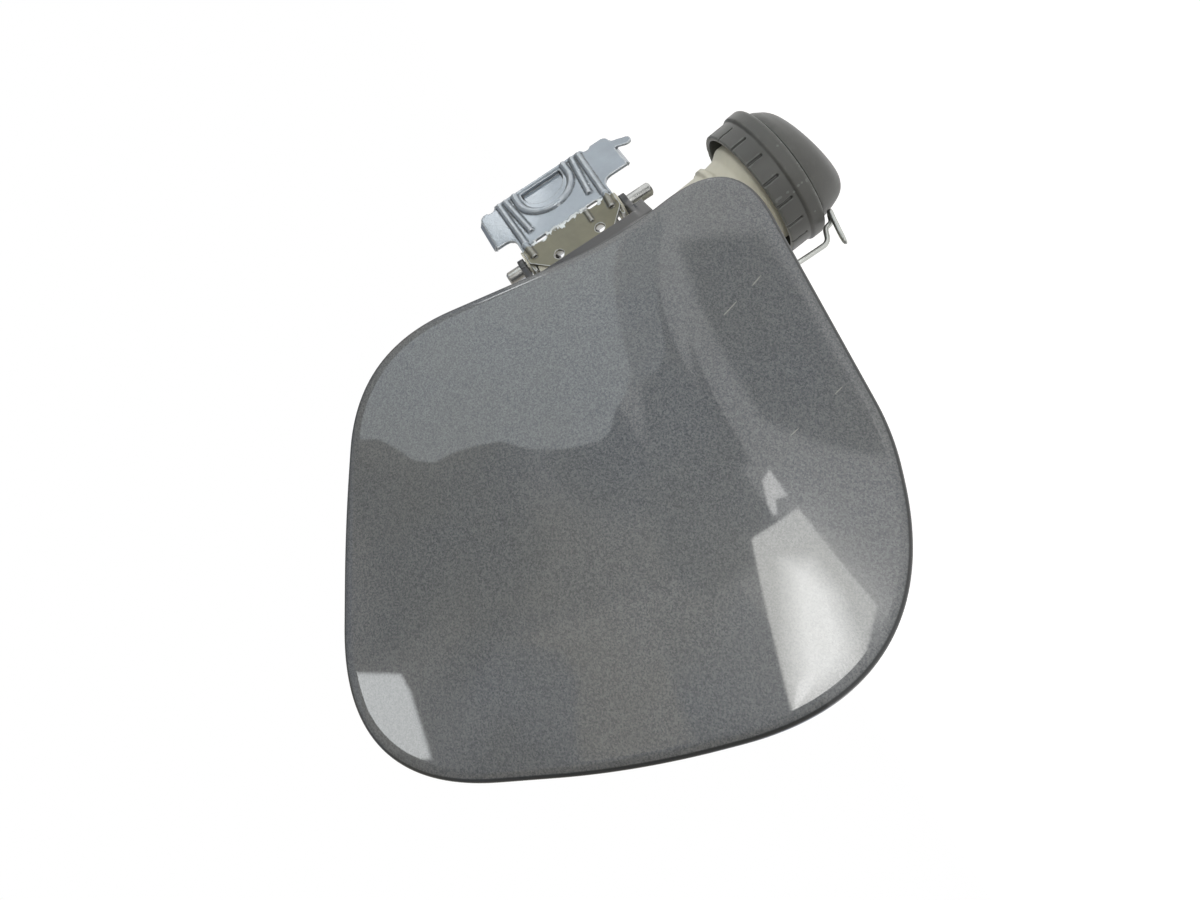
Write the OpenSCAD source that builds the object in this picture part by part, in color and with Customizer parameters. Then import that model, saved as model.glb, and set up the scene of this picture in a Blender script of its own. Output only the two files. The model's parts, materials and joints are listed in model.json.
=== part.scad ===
// Car fuel door: a domed steel flap on a pressed hinge bracket, with the filler cap
// parked on a nylon holder behind the flap and kept there by a spring wire.
// Origin: midway between the bracket's two mounting holes, on its front face.
// The hinge pin runs along Z, the flap's painted face looks towards -Y.

/* [Flap outline] */
// Free edge, left of the flap's centre
free_x = 73; // [60:1:95]
// Waist of the hinge edge, right of the flap's centre
hinge_x = 89.5; // [75:0.5:110]
// Lower edge, below the flap's centre
lower_z = 80; // [65:1:100]
// Upper edge, above the flap's centre
upper_z = 95.5; // [80:0.5:115]
// Reach of the blend at the peak
peak_blend = 54; // [30:1:60]
// Reach of the blend at the upper hinge corner
upper_blend = 40; // [20:1:42]
// Reach of the blend at the lower hinge corner
lower_blend = 33; // [20:1:33]
// Reach of the blend at the large free corner
free_blend = 64; // [35:1:64]

/* [Flap section] */
// Height of the dome over the rolled edge
crown_h = 6.5; // [3:0.5:10]
// Sheet thickness of the skin
skin_t = 0.8; // [0.6:0.1:1.2]
// Outside radius of the rolled edge
roll_r = 2.5; // [2:0.1:4]
// Depth of the return flange
flange_d = 9; // [7:0.5:14]
// Width of the hem
hem_w = 7; // [4:0.5:9]
// Sheet thickness of the inner panel
panel_t = 0.9; // [0.7:0.1:1.2]
// Depth of the sunk middle of the inner panel
dish_d = 8; // [3:0.5:9]
// Slack between the inner panel's edge and the skin's flange
panel_gap = 0.4; // [0.2:0.1:1]
// Width of a window in the inner panel
window_w = 14; // [8:1:18]
// Length of a window in the inner panel
window_l = 24; // [16:1:40]

/* [Place of the flap] */
// Distance of the pin beyond the waist of the hinge edge
pin_beyond = 32.5; // [28:0.5:40]
// Height of the flap's centre over the bracket's
flap_up = 33; // [20:1:45]
// Depth of the bracket's face behind the flap's edge plane
bracket_back = 25; // [22:1:32]

/* [Hinge bracket] */
// Sheet thickness of the bracket
plate_t = 1.6; // [1.2:0.1:2.2]
// Width of the bracket's lower part
base_w = 44; // [40:1:50]
// Length of the lower part below the holes
base_down = 5; // [4:0.5:8]
// Chamfer of the lower corners
base_chamfer = 9; // [5:0.5:11]
// Distance of the bend above the holes
bend_x = 13; // [10:0.5:16]
// Angle of the bend
bend_a = 12; // [6:1:20]
// Length of the upper part
upper_l = 24.5; // [20:0.5:32]
// Width over the ears
ears_w = 66; // [60:1:76]
// Start of the ears above the bend
ear_start = 5; // [4:0.5:8]
// Inner corner radius under an ear
neck_r = 4; // [2:0.5:5]
// Diameter of the mounting holes
hole_d = 4; // [3:0.1:5.5]
// Spacing of the mounting holes
hole_pitch = 19.5; // [16:0.5:24]
// Width of the U-shaped emboss
emboss_w = 22; // [16:1:24]
// Depth of the emboss
emboss_d = 2.6; // [1.6:0.1:4]
// Radius of the ribs
rib_r = 1.3; // [0.8:0.1:1.8]
// Place of the inner ribs from the middle
rib_in_z = 15; // [13.5:0.25:16]
// Place of the outer ribs from the middle
rib_out_z = 19.5; // [18.5:0.25:20.5]
// Length of the slots at the bend
slot_l = 5; // [3:0.5:7]
// Width of the slots at the bend
slot_w = 2.4; // [1.6:0.1:3]
// Place of the slots from the middle
slot_z = 12.4; // [11:0.1:13]
// Width of the flange along an ear's outer edge
ear_flange = 3; // [2:0.5:4]

/* [Hinge] */
// Diameter of the pin
pin_d = 6; // [5:0.1:7]
// Depth of the pin behind the bracket's face
pin_y = 7.5; // [7.5:0.5:10]
// Height of the pin above the holes
pin_x = 7.5; // [6:0.5:9]
// Upper end of the pin from the middle
pin_top = 33; // [31:0.5:40]
// Lower end of the pin from the middle
pin_bottom = 37; // [31:0.5:42]
// Radial running clearance of the pin
pin_fit = 0.05; // [0.02:0.01:0.1]
// Outside radius of the bushes
bush_r = 4.5; // [4.2:0.1:5]
// Thickness of a bush flange
bush_flange = 1; // [0.8:0.1:1.6]
// Thickness of the leaf's web
leaf_t = 2; // [1.5:0.1:3]
// Thickness of the leaf's ears
leaf_ear_t = 3; // [2:0.5:4]
// Side clearance between the leaf's ears and the bushes
ear_gap = 0.35; // [0.3:0.05:0.8]
// Length of the leaf's foot on the flap
foot_l = 38; // [28:1:46]
// Wire diameter of the hinge spring
spring_wire = 1.6; // [1.2:0.1:1.8]
// Turns of the hinge spring
spring_turns = 6; // [4:1:8]

/* [Cap holder] */
// Distance of the cap's axis beyond the lower hinge corner point
cap_beyond = 5.8; // [0:0.2:12]
// Distance of the cap's rim below the lower hinge corner point
cap_below = 5.1; // [2:0.1:12]
// Height of the cap's axis over the bracket's face plane
cap_y = 20; // [18:1:24]
// Lean of the cap's axis towards the hinge
cap_lean_x = 4.5; // [0:0.5:8]
// Lean of the cap's axis towards the flap
cap_lean_y = 3.5; // [0:0.5:6]
// Outside radius of the spigot under the cap
spigot_r = 23; // [22:0.25:24.5]
// Bore radius of the spigot
spigot_bore_r = 17.8; // [16:0.1:18.4]
// Depth of the spigot's flange behind the cap's rim
flange_s = 12; // [11:0.5:14]
// Wall thickness of the holder
holder_t = 3; // [2.5:0.25:3]
// Diameter of the rivets
rivet_d = 4; // [3.2:0.2:4.4]

/* [Cap] */
// Radius of the skirt
skirt_r = 29.2; // [28.5:0.1:30]
// Radius of the lip
lip_r = 30.2; // [29.8:0.1:31]
// Height of the skirt
skirt_h = 9.5; // [8:0.5:11]
// Height of the skirt and the lip
lip_h = 16; // [15:0.25:17]
// Wall of the skirt
skirt_wall = 2.2; // [1.6:0.1:2.6]
// Number of notches round the skirt
notches = 18; // [12:1:24]
// Height of a notch
notch_h = 7.4; // [5:0.2:8]
// Width of a notch
notch_w = 1.2; // [0.8:0.1:2]
// Radius of the grip's foot
grip_r = 26.2; // [24:0.1:26.4]
// Height of the grip's middle over the rim
grip_h = 31; // [28:0.5:34]
// Slope of the grip's top
grip_slope = 0.19; // [0.1:0.01:0.25]
// Direction of the grip's slope round the axis
grip_turn = 29; // [0:1:90]
// Radius of the plug inside the spigot
core_r = 17.4; // [15:0.1:17.5]
// Travel of the valve plate
valve_travel = 1; // [0.6:0.1:1.2]

/* [Catch wire] */
// Diameter of the wire
wire_d = 2.4; // [2:0.1:2.8]
// Distance of the wire's long leg from the cap's axis
wire_off = 38; // [36:0.5:44]
// Mean radius of the coil
coil_r = 5; // [4.6:0.1:6]
// Turns of the coil
coil_turns = 2; // [1:1:3]
// Length of the free thumb end
thumb_l = 13.5; // [8:0.5:18]

/* [Latch side] */
// Wire diameter of the striker loop
striker_d = 4; // [3:0.5:5]
// Height of the striker loop over the panel
striker_h = 16; // [12:1:22]
// Inner width of the striker loop
striker_w = 14; // [10:1:20]
// Diameter of a bump stop
stop_d = 13; // [10:1:16]
// Height of a bump stop
stop_h = 7; // [5:0.5:12]

/* [Hidden] */

round_fn = 64;
small_fn = 32;
slack = 0.35;
eps = 0.01;

// Place of the flap's centre and of its planes
flap_cx = pin_x - pin_beyond - hinge_x;
flap_cy = -bracket_back;
flap_cz = flap_up;
panel_y = flap_cy + flange_d - skin_t;
hem_y = flap_cy + flange_d;

// Corner points of the outline's tangents, each with the reach of its blend
peak = [-free_x + 42, upper_z + 38];
upper_mid = [50, upper_z];
upper_corner = [hinge_x + 21, upper_z - 33];
waist = [hinge_x, -42.5];
lower_corner = [hinge_x + 5.5, -lower_z - 17.5];
lower_mid = [-26.5, -lower_z];
free_corner = [-free_x - 26.5, -lower_z + 31.5];
free_mid = [-free_x, 44.5];
corners = [[peak, peak_blend], [upper_mid, 20], [upper_corner, upper_blend], [waist, 20],
           [lower_corner, lower_blend], [lower_mid, 12], [free_corner, free_blend], [free_mid, 26]];
blend_steps = 8;

// Place of the cap: its rim's centre lies on its axis
cap_x = flap_cx + lower_corner[0] + cap_beyond;
cap_z = flap_cz + lower_corner[1] - cap_below;

// Heights inside the cap, from the rim towards the grip
spigot_end = 9;
seal_t = 1.7;
core_top = lip_h - skirt_wall;
core_flange = core_top - spigot_end - slack - seal_t;

plug_r = 21.8;
lug_a = 30;
core_bottom = -13;
cavity_r = 11;
guide_z = 3;
plate_z = core_bottom + 3 + slack;
stem_r = 1.5;

// Sides of the hinge
cheek_z = base_w / 2;
leaf_z = cheek_z + bush_flange + ear_gap;
leaf_foot_half = leaf_z + leaf_ear_t - 8;

// Foot of the cap holder on the inner panel, its rivets and the post of the catch
foot_x0 = cap_x - 60;
foot_x1 = flap_cx + hinge_x - 9;
foot_z0 = flap_cz - lower_z - 8;
foot_z1 = -leaf_foot_half - 1;
foot_y = hem_y + 0.3 + holder_t;
rivet_places = [[foot_x0 + 5.7, foot_z0 + 9.5], [foot_x1 - 7, foot_z0 + 15], [foot_x1 - 9, foot_z1 - 3.8]];
wire_x = cap_x - wire_off;
post_x = wire_x - coil_r;
post_z = foot_z0 + 14.5;
coil_pitch = wire_d + 0.2;
coil_h = (coil_turns + 0.25) * coil_pitch + wire_d;

// Places on the inner panel, from the flap's centre
stop_places = [[-free_x + 16, 44], [18, -lower_z + 9], [12, upper_z - 4]];
stop_stem_r = 3;
windows = [[-20, 22, 20], [-20, -20, -10], [22, 28, 60]];

function unit(v) = v / norm(v);
function blend(a, b, c, d) =
    let (p = b + d * unit(a - b), q = b + d * unit(c - b))
    [for (i = [0:blend_steps]) let (t = i / blend_steps) pow(1 - t, 2) * p + 2 * t * (1 - t) * b + t * t * q];
function outline() =
    let (n = len(corners))
    [for (i = [0:n - 1]) each blend(corners[(i + n - 1) % n][0], corners[i][0], corners[(i + 1) % n][0],
                                    corners[i][1])];
function inset(p, d) =
    let (n = len(p))
    [for (i = [0:n - 1]) let (t = unit(p[(i + 1) % n] - p[(i + n - 1) % n])) p[i] + d * [t[1], -t[0]]];

edge = outline();
edge_n = len(edge);

// A closed shell from rings of equal length, with a fan at each end
function ring_points(p, s, y) = [for (q = p) [flap_cx + s * q[0], flap_cy + y, flap_cz + s * q[1]]];
function shell_faces(rings, n) =
    concat(
        [for (i = [0:n - 1]) [0, 1 + i, 1 + (i + 1) % n]],
        [for (r = [0:rings - 2], i = [0:n - 1])
            [1 + r * n + i, 1 + (r + 1) * n + i, 1 + (r + 1) * n + (i + 1) % n]],
        [for (r = [0:rings - 2], i = [0:n - 1])
            [1 + r * n + i, 1 + (r + 1) * n + (i + 1) % n, 1 + r * n + (i + 1) % n]],
        [for (i = [0:n - 1]) [1 + rings * n, 1 + (rings - 1) * n + (i + 1) % n, 1 + (rings - 1) * n + i]]);
module ring_shell(first, rings, last) {
    polyhedron(concat([first], [for (r = rings) each r], [last]), shell_faces(len(rings), len(rings[0])));
}

// A round wire along a path, with its frame carried from point to point
function turn_to(v, t) = unit(v - (v * t) * t);
function tangents(p) = [for (i = [0:len(p) - 1]) unit(p[min(i + 1, len(p) - 1)] - p[max(i - 1, 0)])];
function frames(t, i, v) = i >= len(t) ? [] : let (w = turn_to(v, t[i])) concat([w], frames(t, i + 1, w));
module wire(path, r, sides) {
    t = tangents(path);
    seed = abs(t[0][0]) < 0.7 ? [1, 0, 0] : [0, 1, 0];
    v = frames(t, 0, seed);
    n = len(path);
    body = [for (i = [0:n - 1], k = [0:sides - 1])
        path[i] + r * (cos(360 * k / sides) * v[i] + sin(360 * k / sides) * cross(t[i], v[i]))];
    walls = [for (i = [0:n - 2], k = [0:sides - 1])
        [i * sides + k, (i + 1) * sides + k, (i + 1) * sides + (k + 1) % sides, i * sides + (k + 1) % sides]];
    polyhedron(body, concat(walls, [[for (k = [0:sides - 1]) k]],
                            [[for (k = [sides - 1:-1:0]) (n - 1) * sides + k]]));
}
// Points of a path with each inner corner rounded
function rounded_path(p, d, steps) =
    concat([p[0]],
           [for (i = [1:len(p) - 2], k = [0:steps])
               let (t = k / steps, r = min(d, norm(p[i - 1] - p[i]) * 0.45, norm(p[i + 1] - p[i]) * 0.45),
                    a = p[i] + r * unit(p[i - 1] - p[i]), b = p[i] + r * unit(p[i + 1] - p[i]))
               pow(1 - t, 2) * a + 2 * t * (1 - t) * p[i] + t * t * b],
           [p[len(p) - 1]]);

// Frames of the bracket's upper part and of the cap
module along_y(y) {
    translate([0, y, 0])
        rotate([-90, 0, 0])
            children();
}
module on_upper() {
    translate([bend_x, 0, 0])
        rotate([0, 0, bend_a])
            children();
}
module at_pin() {
    translate([pin_x, pin_y, 0])
        children();
}
module at_cap() {
    translate([cap_x, cap_y, cap_z])
        rotate([-cap_lean_y, -cap_lean_x, 0])
            rotate([180, 0, 0])
                children();
}
// A sheet in the XZ plane: its 2D shape is drawn as [x, z] and its front face is at y
module sheet(y, t) {
    translate([0, y + t, 0])
        rotate([90, 0, 0])
            linear_extrude(t)
                children();
}
module slot_2d(l, w) {
    square([l - w, w], center = true);
    for (s = [-1, 1])
        translate([s * (l - w) / 2, 0])
            circle(d = w, $fn = small_fn);
}

module base_2d() {
    half = base_w / 2;
    polygon([[-base_down, -half + base_chamfer], [-base_down + base_chamfer, -half], [bend_x, -half],
             [bend_x, half], [-base_down + base_chamfer, half], [-base_down, half - base_chamfer]]);
}
module upper_2d() {
    half = base_w / 2;
    ear = ears_w / 2;
    difference() {
        union() {
            translate([0, -half])
                square([upper_l, base_w]);
            translate([ear_start, -ear])
                square([upper_l - ear_start, ears_w]);
            translate([ear_start - neck_r, -half - neck_r])
                square([neck_r + eps, base_w + 2 * neck_r]);
        }
        for (s = [-1, 1]) {
            translate([ear_start - neck_r, s * (half + neck_r)])
                circle(r = neck_r, $fn = small_fn);
            translate([upper_l + 1, s * (half + 3.5)])
                circle(r = 2.2, $fn = small_fn);
        }
    }
}
module emboss_2d(r) {
    translate([upper_l - emboss_l(), 0])
        circle(r = r, $fn = round_fn);
    translate([upper_l - emboss_l(), -r])
        square([emboss_l() + 1, 2 * r]);
}
function emboss_l() = upper_l - emboss_w / 2 - 6;

module rib(x0, x1, z0, z1, r) {
    len = norm([x1 - x0, z1 - z0]);
    translate([x0, 0, z0])
        rotate([0, -atan2(z1 - z0, x1 - x0), 0])
            rotate([0, 90, 0])
                cylinder(r = r, h = len, $fn = small_fn);
}
module cheek(s) {
    translate([0, 0, s > 0 ? cheek_z - plate_t : -cheek_z])
        difference() {
            union() {
                at_pin()
                    cylinder(r = bush_r + 3.2, h = plate_t, $fn = round_fn);
                translate([pin_x - bush_r - 3.2, plate_t / 2, 0])
                    cube([2 * bush_r + 6.4, pin_y - plate_t / 2, plate_t]);
            }
            at_pin()
                translate([0, 0, -1])
                    cylinder(r = bush_r, h = plate_t + 2, $fn = round_fn);
        }
}
module hinge_bracket() {
    color([0.62, 0.65, 0.68])
        difference() {
            union() {
                sheet(0, plate_t)
                    base_2d();
                on_upper() {
                    sheet(0, plate_t)
                        upper_2d();
                    sheet(plate_t / 2, plate_t / 2 + emboss_d)
                        intersection() {
                            emboss_2d(emboss_w / 2);
                            square([2 * upper_l, base_w], center = true);
                        }
                    for (s = [-1, 1]) {
                        rib(-0.5, upper_l, s * rib_out_z, s * (rib_out_z + 0.5), rib_r);
                        rib(4, upper_l, s * rib_in_z, s * (rib_in_z + 0.3), rib_r);
                        ear_lip(s);
                    }
                    ear_tab();
                }
                for (s = [-1, 1]) {
                    rib(5, bend_x + 0.5, s * (rib_out_z - 1), s * rib_out_z, rib_r);
                    cheek(s);
                }
            }
            for (s = [-1, 1]) {
                translate([0, 0, s * hole_pitch / 2])
                    along_y(-2)
                        cylinder(d = hole_d, h = plate_t + 4, $fn = round_fn);
                sheet(-2, plate_t + 4)
                    translate([bend_x - 1.5, s * slot_z])
                        rotate(90)
                            slot_2d(slot_l, slot_w);
            }
            on_upper() {
                sheet(-2, 2 + emboss_d)
                    emboss_2d(emboss_w / 2 - plate_t);
                translate([-1, plate_t, -ears_w / 2 - 1])
                    for (s = [rib_in_z, rib_out_z])
                        for (m = [-1, 1])
                            translate([0, 0, ears_w / 2 + 1 + m * s])
                                rotate([0, 90, 0])
                                    cylinder(r = rib_r * 0.5, h = upper_l + 2, $fn = small_fn);
            }
        }
}
module ear_lip(s) {
    translate([ear_start + 1.5, 0, s * ears_w / 2])
        rotate([-s * 55, 0, 0])
            translate([0, 0, s > 0 ? -eps : -ear_flange + eps])
                cube([upper_l - ear_start - 3, plate_t, ear_flange]);
}
module ear_tab() {
    tab_w = 4.4;
    tab_l = 7.5;
    translate([upper_l - 6, 0, -ears_w / 2 + 1])
        rotate([0, 25, 0])
            sheet(0, plate_t * 0.75)
                union() {
                    translate([-tab_w / 2, -tab_l])
                        square([tab_w, tab_l]);
                    translate([0, -tab_l])
                        circle(d = tab_w, $fn = small_fn);
                }
}

module hinge_bushes() {
    color([0.86, 0.84, 0.76])
        for (s = [0, 1])
            mirror([0, 0, s])
                at_pin()
                    translate([0, 0, cheek_z - plate_t - 0.4])
                        difference() {
                            union() {
                                cylinder(r = bush_r, h = plate_t + 0.4 + eps, $fn = round_fn);
                                translate([0, 0, plate_t + 0.4])
                                    cylinder(r = bush_r + 2.2, h = bush_flange, $fn = round_fn);
                            }
                            translate([0, 0, -1])
                                cylinder(r = pin_d / 2 + pin_fit, h = plate_t + bush_flange + 3, $fn = round_fn);
                        }
}

block_z0 = 12.5;
module hinge_block() {
    top = cheek_z - plate_t - 0.5;
    color([0.87, 0.85, 0.76])
        difference() {
            union() {
                at_pin()
                    translate([0, 0, block_z0])
                        cylinder(r = pin_y - plate_t, h = top - block_z0, $fn = round_fn);
                translate([-base_down - 3, plate_t, block_z0])
                    cube([pin_x + base_down + 3, 7, top - block_z0]);
            }
            at_pin()
                translate([0, 0, block_z0 - 1])
                    cylinder(r = pin_d / 2 + pin_fit, h = top - block_z0 + 2, $fn = round_fn);
        }
}

module hinge_spring() {
    r = pin_d / 2 + 0.5 + spring_wire / 2;
    z0 = -cheek_z + plate_t + 2.5;
    pitch = (block_z0 - 1.5 - z0) / spring_turns;
    steps = 16;
    a0 = 180;
    coil = [for (i = [0:spring_turns * steps])
        [pin_x + r * cos(a0 + 360 * i / steps), pin_y + r * sin(a0 + 360 * i / steps), z0 + pitch * i / steps]];
    lower_leg = [[pin_x - r, pin_y + 14, z0], [pin_x - r, pin_y + 7, z0]];
    end = coil[len(coil) - 1];
    upper_leg = [end + [0, -0.6, 0.1], end + [-0.3, -2.4, 0.1], end + [-6, -3.2, 0.1], end + [-9, -3.4, 0.1]];
    color([0.35, 0.36, 0.38])
        wire(concat(lower_leg, coil, [for (i = [1:len(upper_leg) - 1]) upper_leg[i]]), spring_wire / 2, 8);
}

module hinge_pin() {
    chamfer = 0.8;
    r = pin_d / 2;
    color([0.72, 0.73, 0.72])
        at_pin()
            rotate_extrude($fn = round_fn)
                polygon([[0, -pin_bottom], [r - chamfer, -pin_bottom], [r, -pin_bottom + chamfer],
                         [r, pin_top - chamfer], [r - chamfer, pin_top], [0, pin_top]]);
}

web_top = [-12, -7.1];
web_low = [flap_cx + hinge_x + 2, hem_y + leaf_t / 2];
module leaf_ear(z) {
    d = unit(web_top - [pin_x, pin_y]);
    side = [-d[1], d[0]];
    translate([0, 0, z])
        difference() {
            union() {
                linear_extrude(leaf_ear_t)
                    polygon([[pin_x, pin_y] - 4.2 * side, [pin_x, pin_y] + 3 * side, web_top + 1.2 * side,
                             web_top + [-1, -1.5], web_top - 6 * side]);
                at_pin()
                    cylinder(r = pin_d / 2 + 1.6, h = leaf_ear_t, $fn = round_fn);
            }
            at_pin()
                translate([0, 0, -1])
                    cylinder(r = pin_d / 2 + 0.02, h = leaf_ear_t + 2, $fn = round_fn);
        }
}
module hinge_leaf() {
    half = leaf_z + leaf_ear_t;
    n = unit(web_top - web_low);
    up = [-n[1], n[0]] * leaf_t / 2;
    foot_end = web_low[0] - foot_l;
    color([0.1, 0.1, 0.11])
        difference() {
            union() {
                translate([0, 0, -half])
                    linear_extrude(2 * half)
                        polygon([[foot_end, hem_y], [web_low[0], hem_y], web_low - up + [0.6, 0], web_top - up,
                                 web_top + up, web_low + up, [web_low[0] - 0.8, hem_y + leaf_t],
                                 [foot_end, hem_y + leaf_t]]);
                for (z = [leaf_z, -leaf_z - leaf_ear_t])
                    leaf_ear(z);
            }
            for (s = [-1, 1])
                translate([foot_end - 1, hem_y - 1, s > 0 ? half - 8 : -half - 1])
                    cube([foot_l - 4, leaf_t + 2, 9]);
            sheet(hem_y - 1, leaf_t + 2)
                translate([foot_end + 14, 0])
                    slot_2d(14, 9);
        }
}

module flap_skin() {
    t = skin_t;
    fi = roll_r - t;
    top = -roll_r * cos(10);
    out_dome = [for (s = [0.2, 0.4, 0.58, 0.74, 0.87, 0.95]) ring_points(inset(edge, roll_r * (1 - sin(10))), s,
                                                                        top - crown_h * (1 - s * s))];
    out_roll = [for (a = [10:16:90]) ring_points(inset(edge, roll_r * (1 - sin(a))), 1, -roll_r * cos(a))];
    in_roll = [for (a = [90:-16:10]) ring_points(inset(edge, roll_r - fi * sin(a)), 1, -fi * cos(a))];
    in_dome = [for (s = [0.95, 0.87, 0.74, 0.58, 0.4, 0.2]) ring_points(inset(edge, roll_r - fi * sin(10)), s,
                                                          -fi * cos(10) - crown_h * (1 - s * s))];
    hem = [ring_points(edge, 1, flange_d - 0.5),
           ring_points(inset(edge, 0.5), 1, flange_d),
           ring_points(inset(edge, hem_w), 1, flange_d),
           ring_points(inset(edge, hem_w), 1, flange_d - t),
           ring_points(inset(edge, t), 1, flange_d - t)];
    color([0.36, 0.37, 0.39])
        ring_shell([flap_cx, flap_cy + top - crown_h, flap_cz], concat(out_dome, out_roll, hem, in_roll, in_dome),
                   [flap_cx, flap_cy - fi * cos(10) - crown_h, flap_cz]);
}

module inner_panel() {
    y = flange_d - skin_t;
    p = inset(edge, skin_t + panel_gap);
    form = [[0.3, dish_d], [0.56, dish_d], [0.6, dish_d - 0.8], [0.67, 0.8], [0.7, 0], [1, 0]];
    front = [for (f = form) ring_points(p, f[0], y - f[1] - panel_t)];
    rear = [for (i = [len(form) - 1:-1:0]) ring_points(p, form[i][0], y - form[i][1])];
    color([0.3, 0.31, 0.33])
        difference() {
            union() {
                ring_shell([flap_cx, flap_cy + y - dish_d - panel_t, flap_cz], concat(front, rear),
                           [flap_cx, flap_cy + y - dish_d, flap_cz]);
                translate([web_low[0] - foot_l, panel_y - panel_t / 2, -leaf_foot_half - 0.5])
                    cube([foot_l - hem_w - 4, hem_y - panel_y + panel_t / 2, 2 * leaf_foot_half + 1]);
            }
            for (w = windows)
                sheet(flap_cy - roll_r, flange_d + roll_r)
                    translate([flap_cx + w[0], flap_cz + w[1]])
                        rotate(w[2])
                            slot_2d(window_l, window_w);
            for (h = stop_places)
                translate([flap_cx + h[0], 0, flap_cz + h[1]])
                    along_y(panel_y - 2 * panel_t)
                        cylinder(r = stop_stem_r + 0.1, h = 4 * panel_t, $fn = small_fn);
            for (h = rivet_places)
                translate([h[0], 0, h[1]])
                    along_y(panel_y - 2 * panel_t)
                        cylinder(r = rivet_d / 2 + 0.1, h = 4 * panel_t, $fn = small_fn);
            translate([post_x, 0, post_z])
                along_y(panel_y - 2 * panel_t)
                    cylinder(r = rivet_d / 2 + 0.1, h = 4 * panel_t, $fn = small_fn);
        }
}

module striker_loop() {
    r = striker_d / 2;
    half = striker_w / 2 + r;
    bend = r + 1.5;
    color([0.7, 0.71, 0.7])
        translate([flap_cx - free_x + 11, panel_y, flap_cz - 8]) {
            translate([-7, 0, -half - 8])
                cube([14, 1.5, 2 * half + 16]);
            for (s = [-1, 1])
                mirror([0, 0, s < 0 ? 1 : 0]) {
                    translate([0, 1, half])
                        along_y(0)
                            cylinder(r = r, h = striker_h - bend - 1, $fn = small_fn);
                    translate([0, striker_h - bend, half - bend])
                        rotate([0, -90, 0])
                            rotate_extrude(angle = 90, $fn = small_fn)
                                translate([bend, 0])
                                    circle(r = r, $fn = small_fn);
                    translate([0, striker_h, 0])
                        cylinder(r = r, h = half - bend, $fn = small_fn);
                }
        }
}

module bump_stops() {
    r = stop_d / 2;
    color([0.09, 0.09, 0.09])
        for (h = stop_places)
            translate([flap_cx + h[0], panel_y, flap_cz + h[1]])
                rotate([-90, 0, 0])
                    rotate_extrude($fn = small_fn)
                        polygon([[0, -panel_t - 3.5], [stop_stem_r - 0.8, -panel_t - 3.5],
                                 [stop_stem_r + 1.2, -panel_t], [stop_stem_r, -panel_t], [stop_stem_r, 0],
                                 [r, 0], [r, 2], [r - 1.5, 3], [r - 2, stop_h - 1], [r - 3, stop_h], [0, stop_h]]);
}

// A rib square to the holder's tube, from the tube down to the foot
module holder_rib(s0, left_x) {
    r = spigot_bore_r + 2;
    deep = cap_y - foot_y + 6;
    intersection() {
        at_cap()
            translate([0, 0, s0])
                linear_extrude(holder_t)
                    difference() {
                        polygon([[left_x - cap_x, deep], [foot_x1 - cap_x - 2, deep],
                                 [r * cos(52), r * sin(52)], [r * cos(215), r * sin(215)]]);
                        circle(r = spigot_bore_r + 0.5, $fn = round_fn);
                    }
        translate([foot_x0, foot_y - holder_t / 2, cap_z])
            cube([cap_x - foot_x0 + 2 * r, 2 * cap_y + 2 * r, foot_z1 - cap_z]);
    }
}
holder_end_s = -42;
module cap_holder() {
    r = spigot_bore_r + 2;
    end_s = holder_end_s;
    color([0.86, 0.85, 0.79])
        difference() {
            union() {
                at_cap() {
                    rotate_extrude($fn = round_fn)
                        polygon([[0, end_s], [r - 1, end_s], [r, end_s + 1], [r, -flange_s],
                                 [r + 1.4, -flange_s], [r + 1.4, -flange_s + 2.6], [r, -flange_s + 3],
                                 [r + 0.6, -3.6], [spigot_r, 0], [spigot_r, spigot_end - 0.6],
                                 [spigot_r - 0.6, spigot_end], [0, spigot_end]]);
                    translate([r * 0.72, -3, -flange_s])
                        cube([r * 0.28 + 2.6, 6, holder_t]);
                }
                holder_rib(-21, wire_x + wire_d);
                holder_rib(end_s, foot_x0 + 10);
                translate([foot_x0, foot_y - holder_t, foot_z0])
                    cube([foot_x1 - foot_x0, holder_t, foot_z1 - foot_z0]);
                translate([foot_x0 + 2, panel_y, foot_z0 + 8])
                    cube([foot_x1 - foot_x0 - 8, foot_y - holder_t / 2 - panel_y, foot_z1 - foot_z0 - 10]);
            }
            at_cap() {
                translate([0, 0, end_s + 2.5])
                    cylinder(r = spigot_bore_r, h = spigot_end - end_s, $fn = round_fn);
                translate([0, 0, 0.6])
                    cylinder(r = spigot_bore_r + 1.6, h = 3.8, $fn = round_fn);
                for (a = [90, 270])
                    rotate([0, 0, a])
                        translate([0, -6.5, 0.6])
                            cube([spigot_bore_r + 1.4, 13, spigot_end]);
            }
            for (h = rivet_places)
                translate([h[0], 0, h[1]])
                    along_y(panel_y - 1)
                        cylinder(r = rivet_d / 2 + 0.1, h = foot_y - panel_y + 2, $fn = small_fn);
            translate([post_x, 0, post_z])
                along_y(panel_y - 1)
                    cylinder(r = rivet_d / 2 + 0.1, h = foot_y - panel_y + 2, $fn = small_fn);
        }
}

module holder_rivets() {
    r = rivet_d / 2;
    color([0.66, 0.67, 0.68])
        for (h = rivet_places)
            translate([h[0], 0, h[1]])
                rotate([-90, 0, 0])
                    rotate_extrude($fn = small_fn)
                        polygon([[0, panel_y - panel_t - 1.4], [r + 0.6, panel_y - panel_t - 1.4],
                                 [r + 1.2, panel_y - panel_t], [r, panel_y - panel_t], [r, foot_y],
                                 [r + 2, foot_y], [r + 1.6, foot_y + 1], [r, foot_y + 1.6], [0, foot_y + 1.6]]);
}

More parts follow.
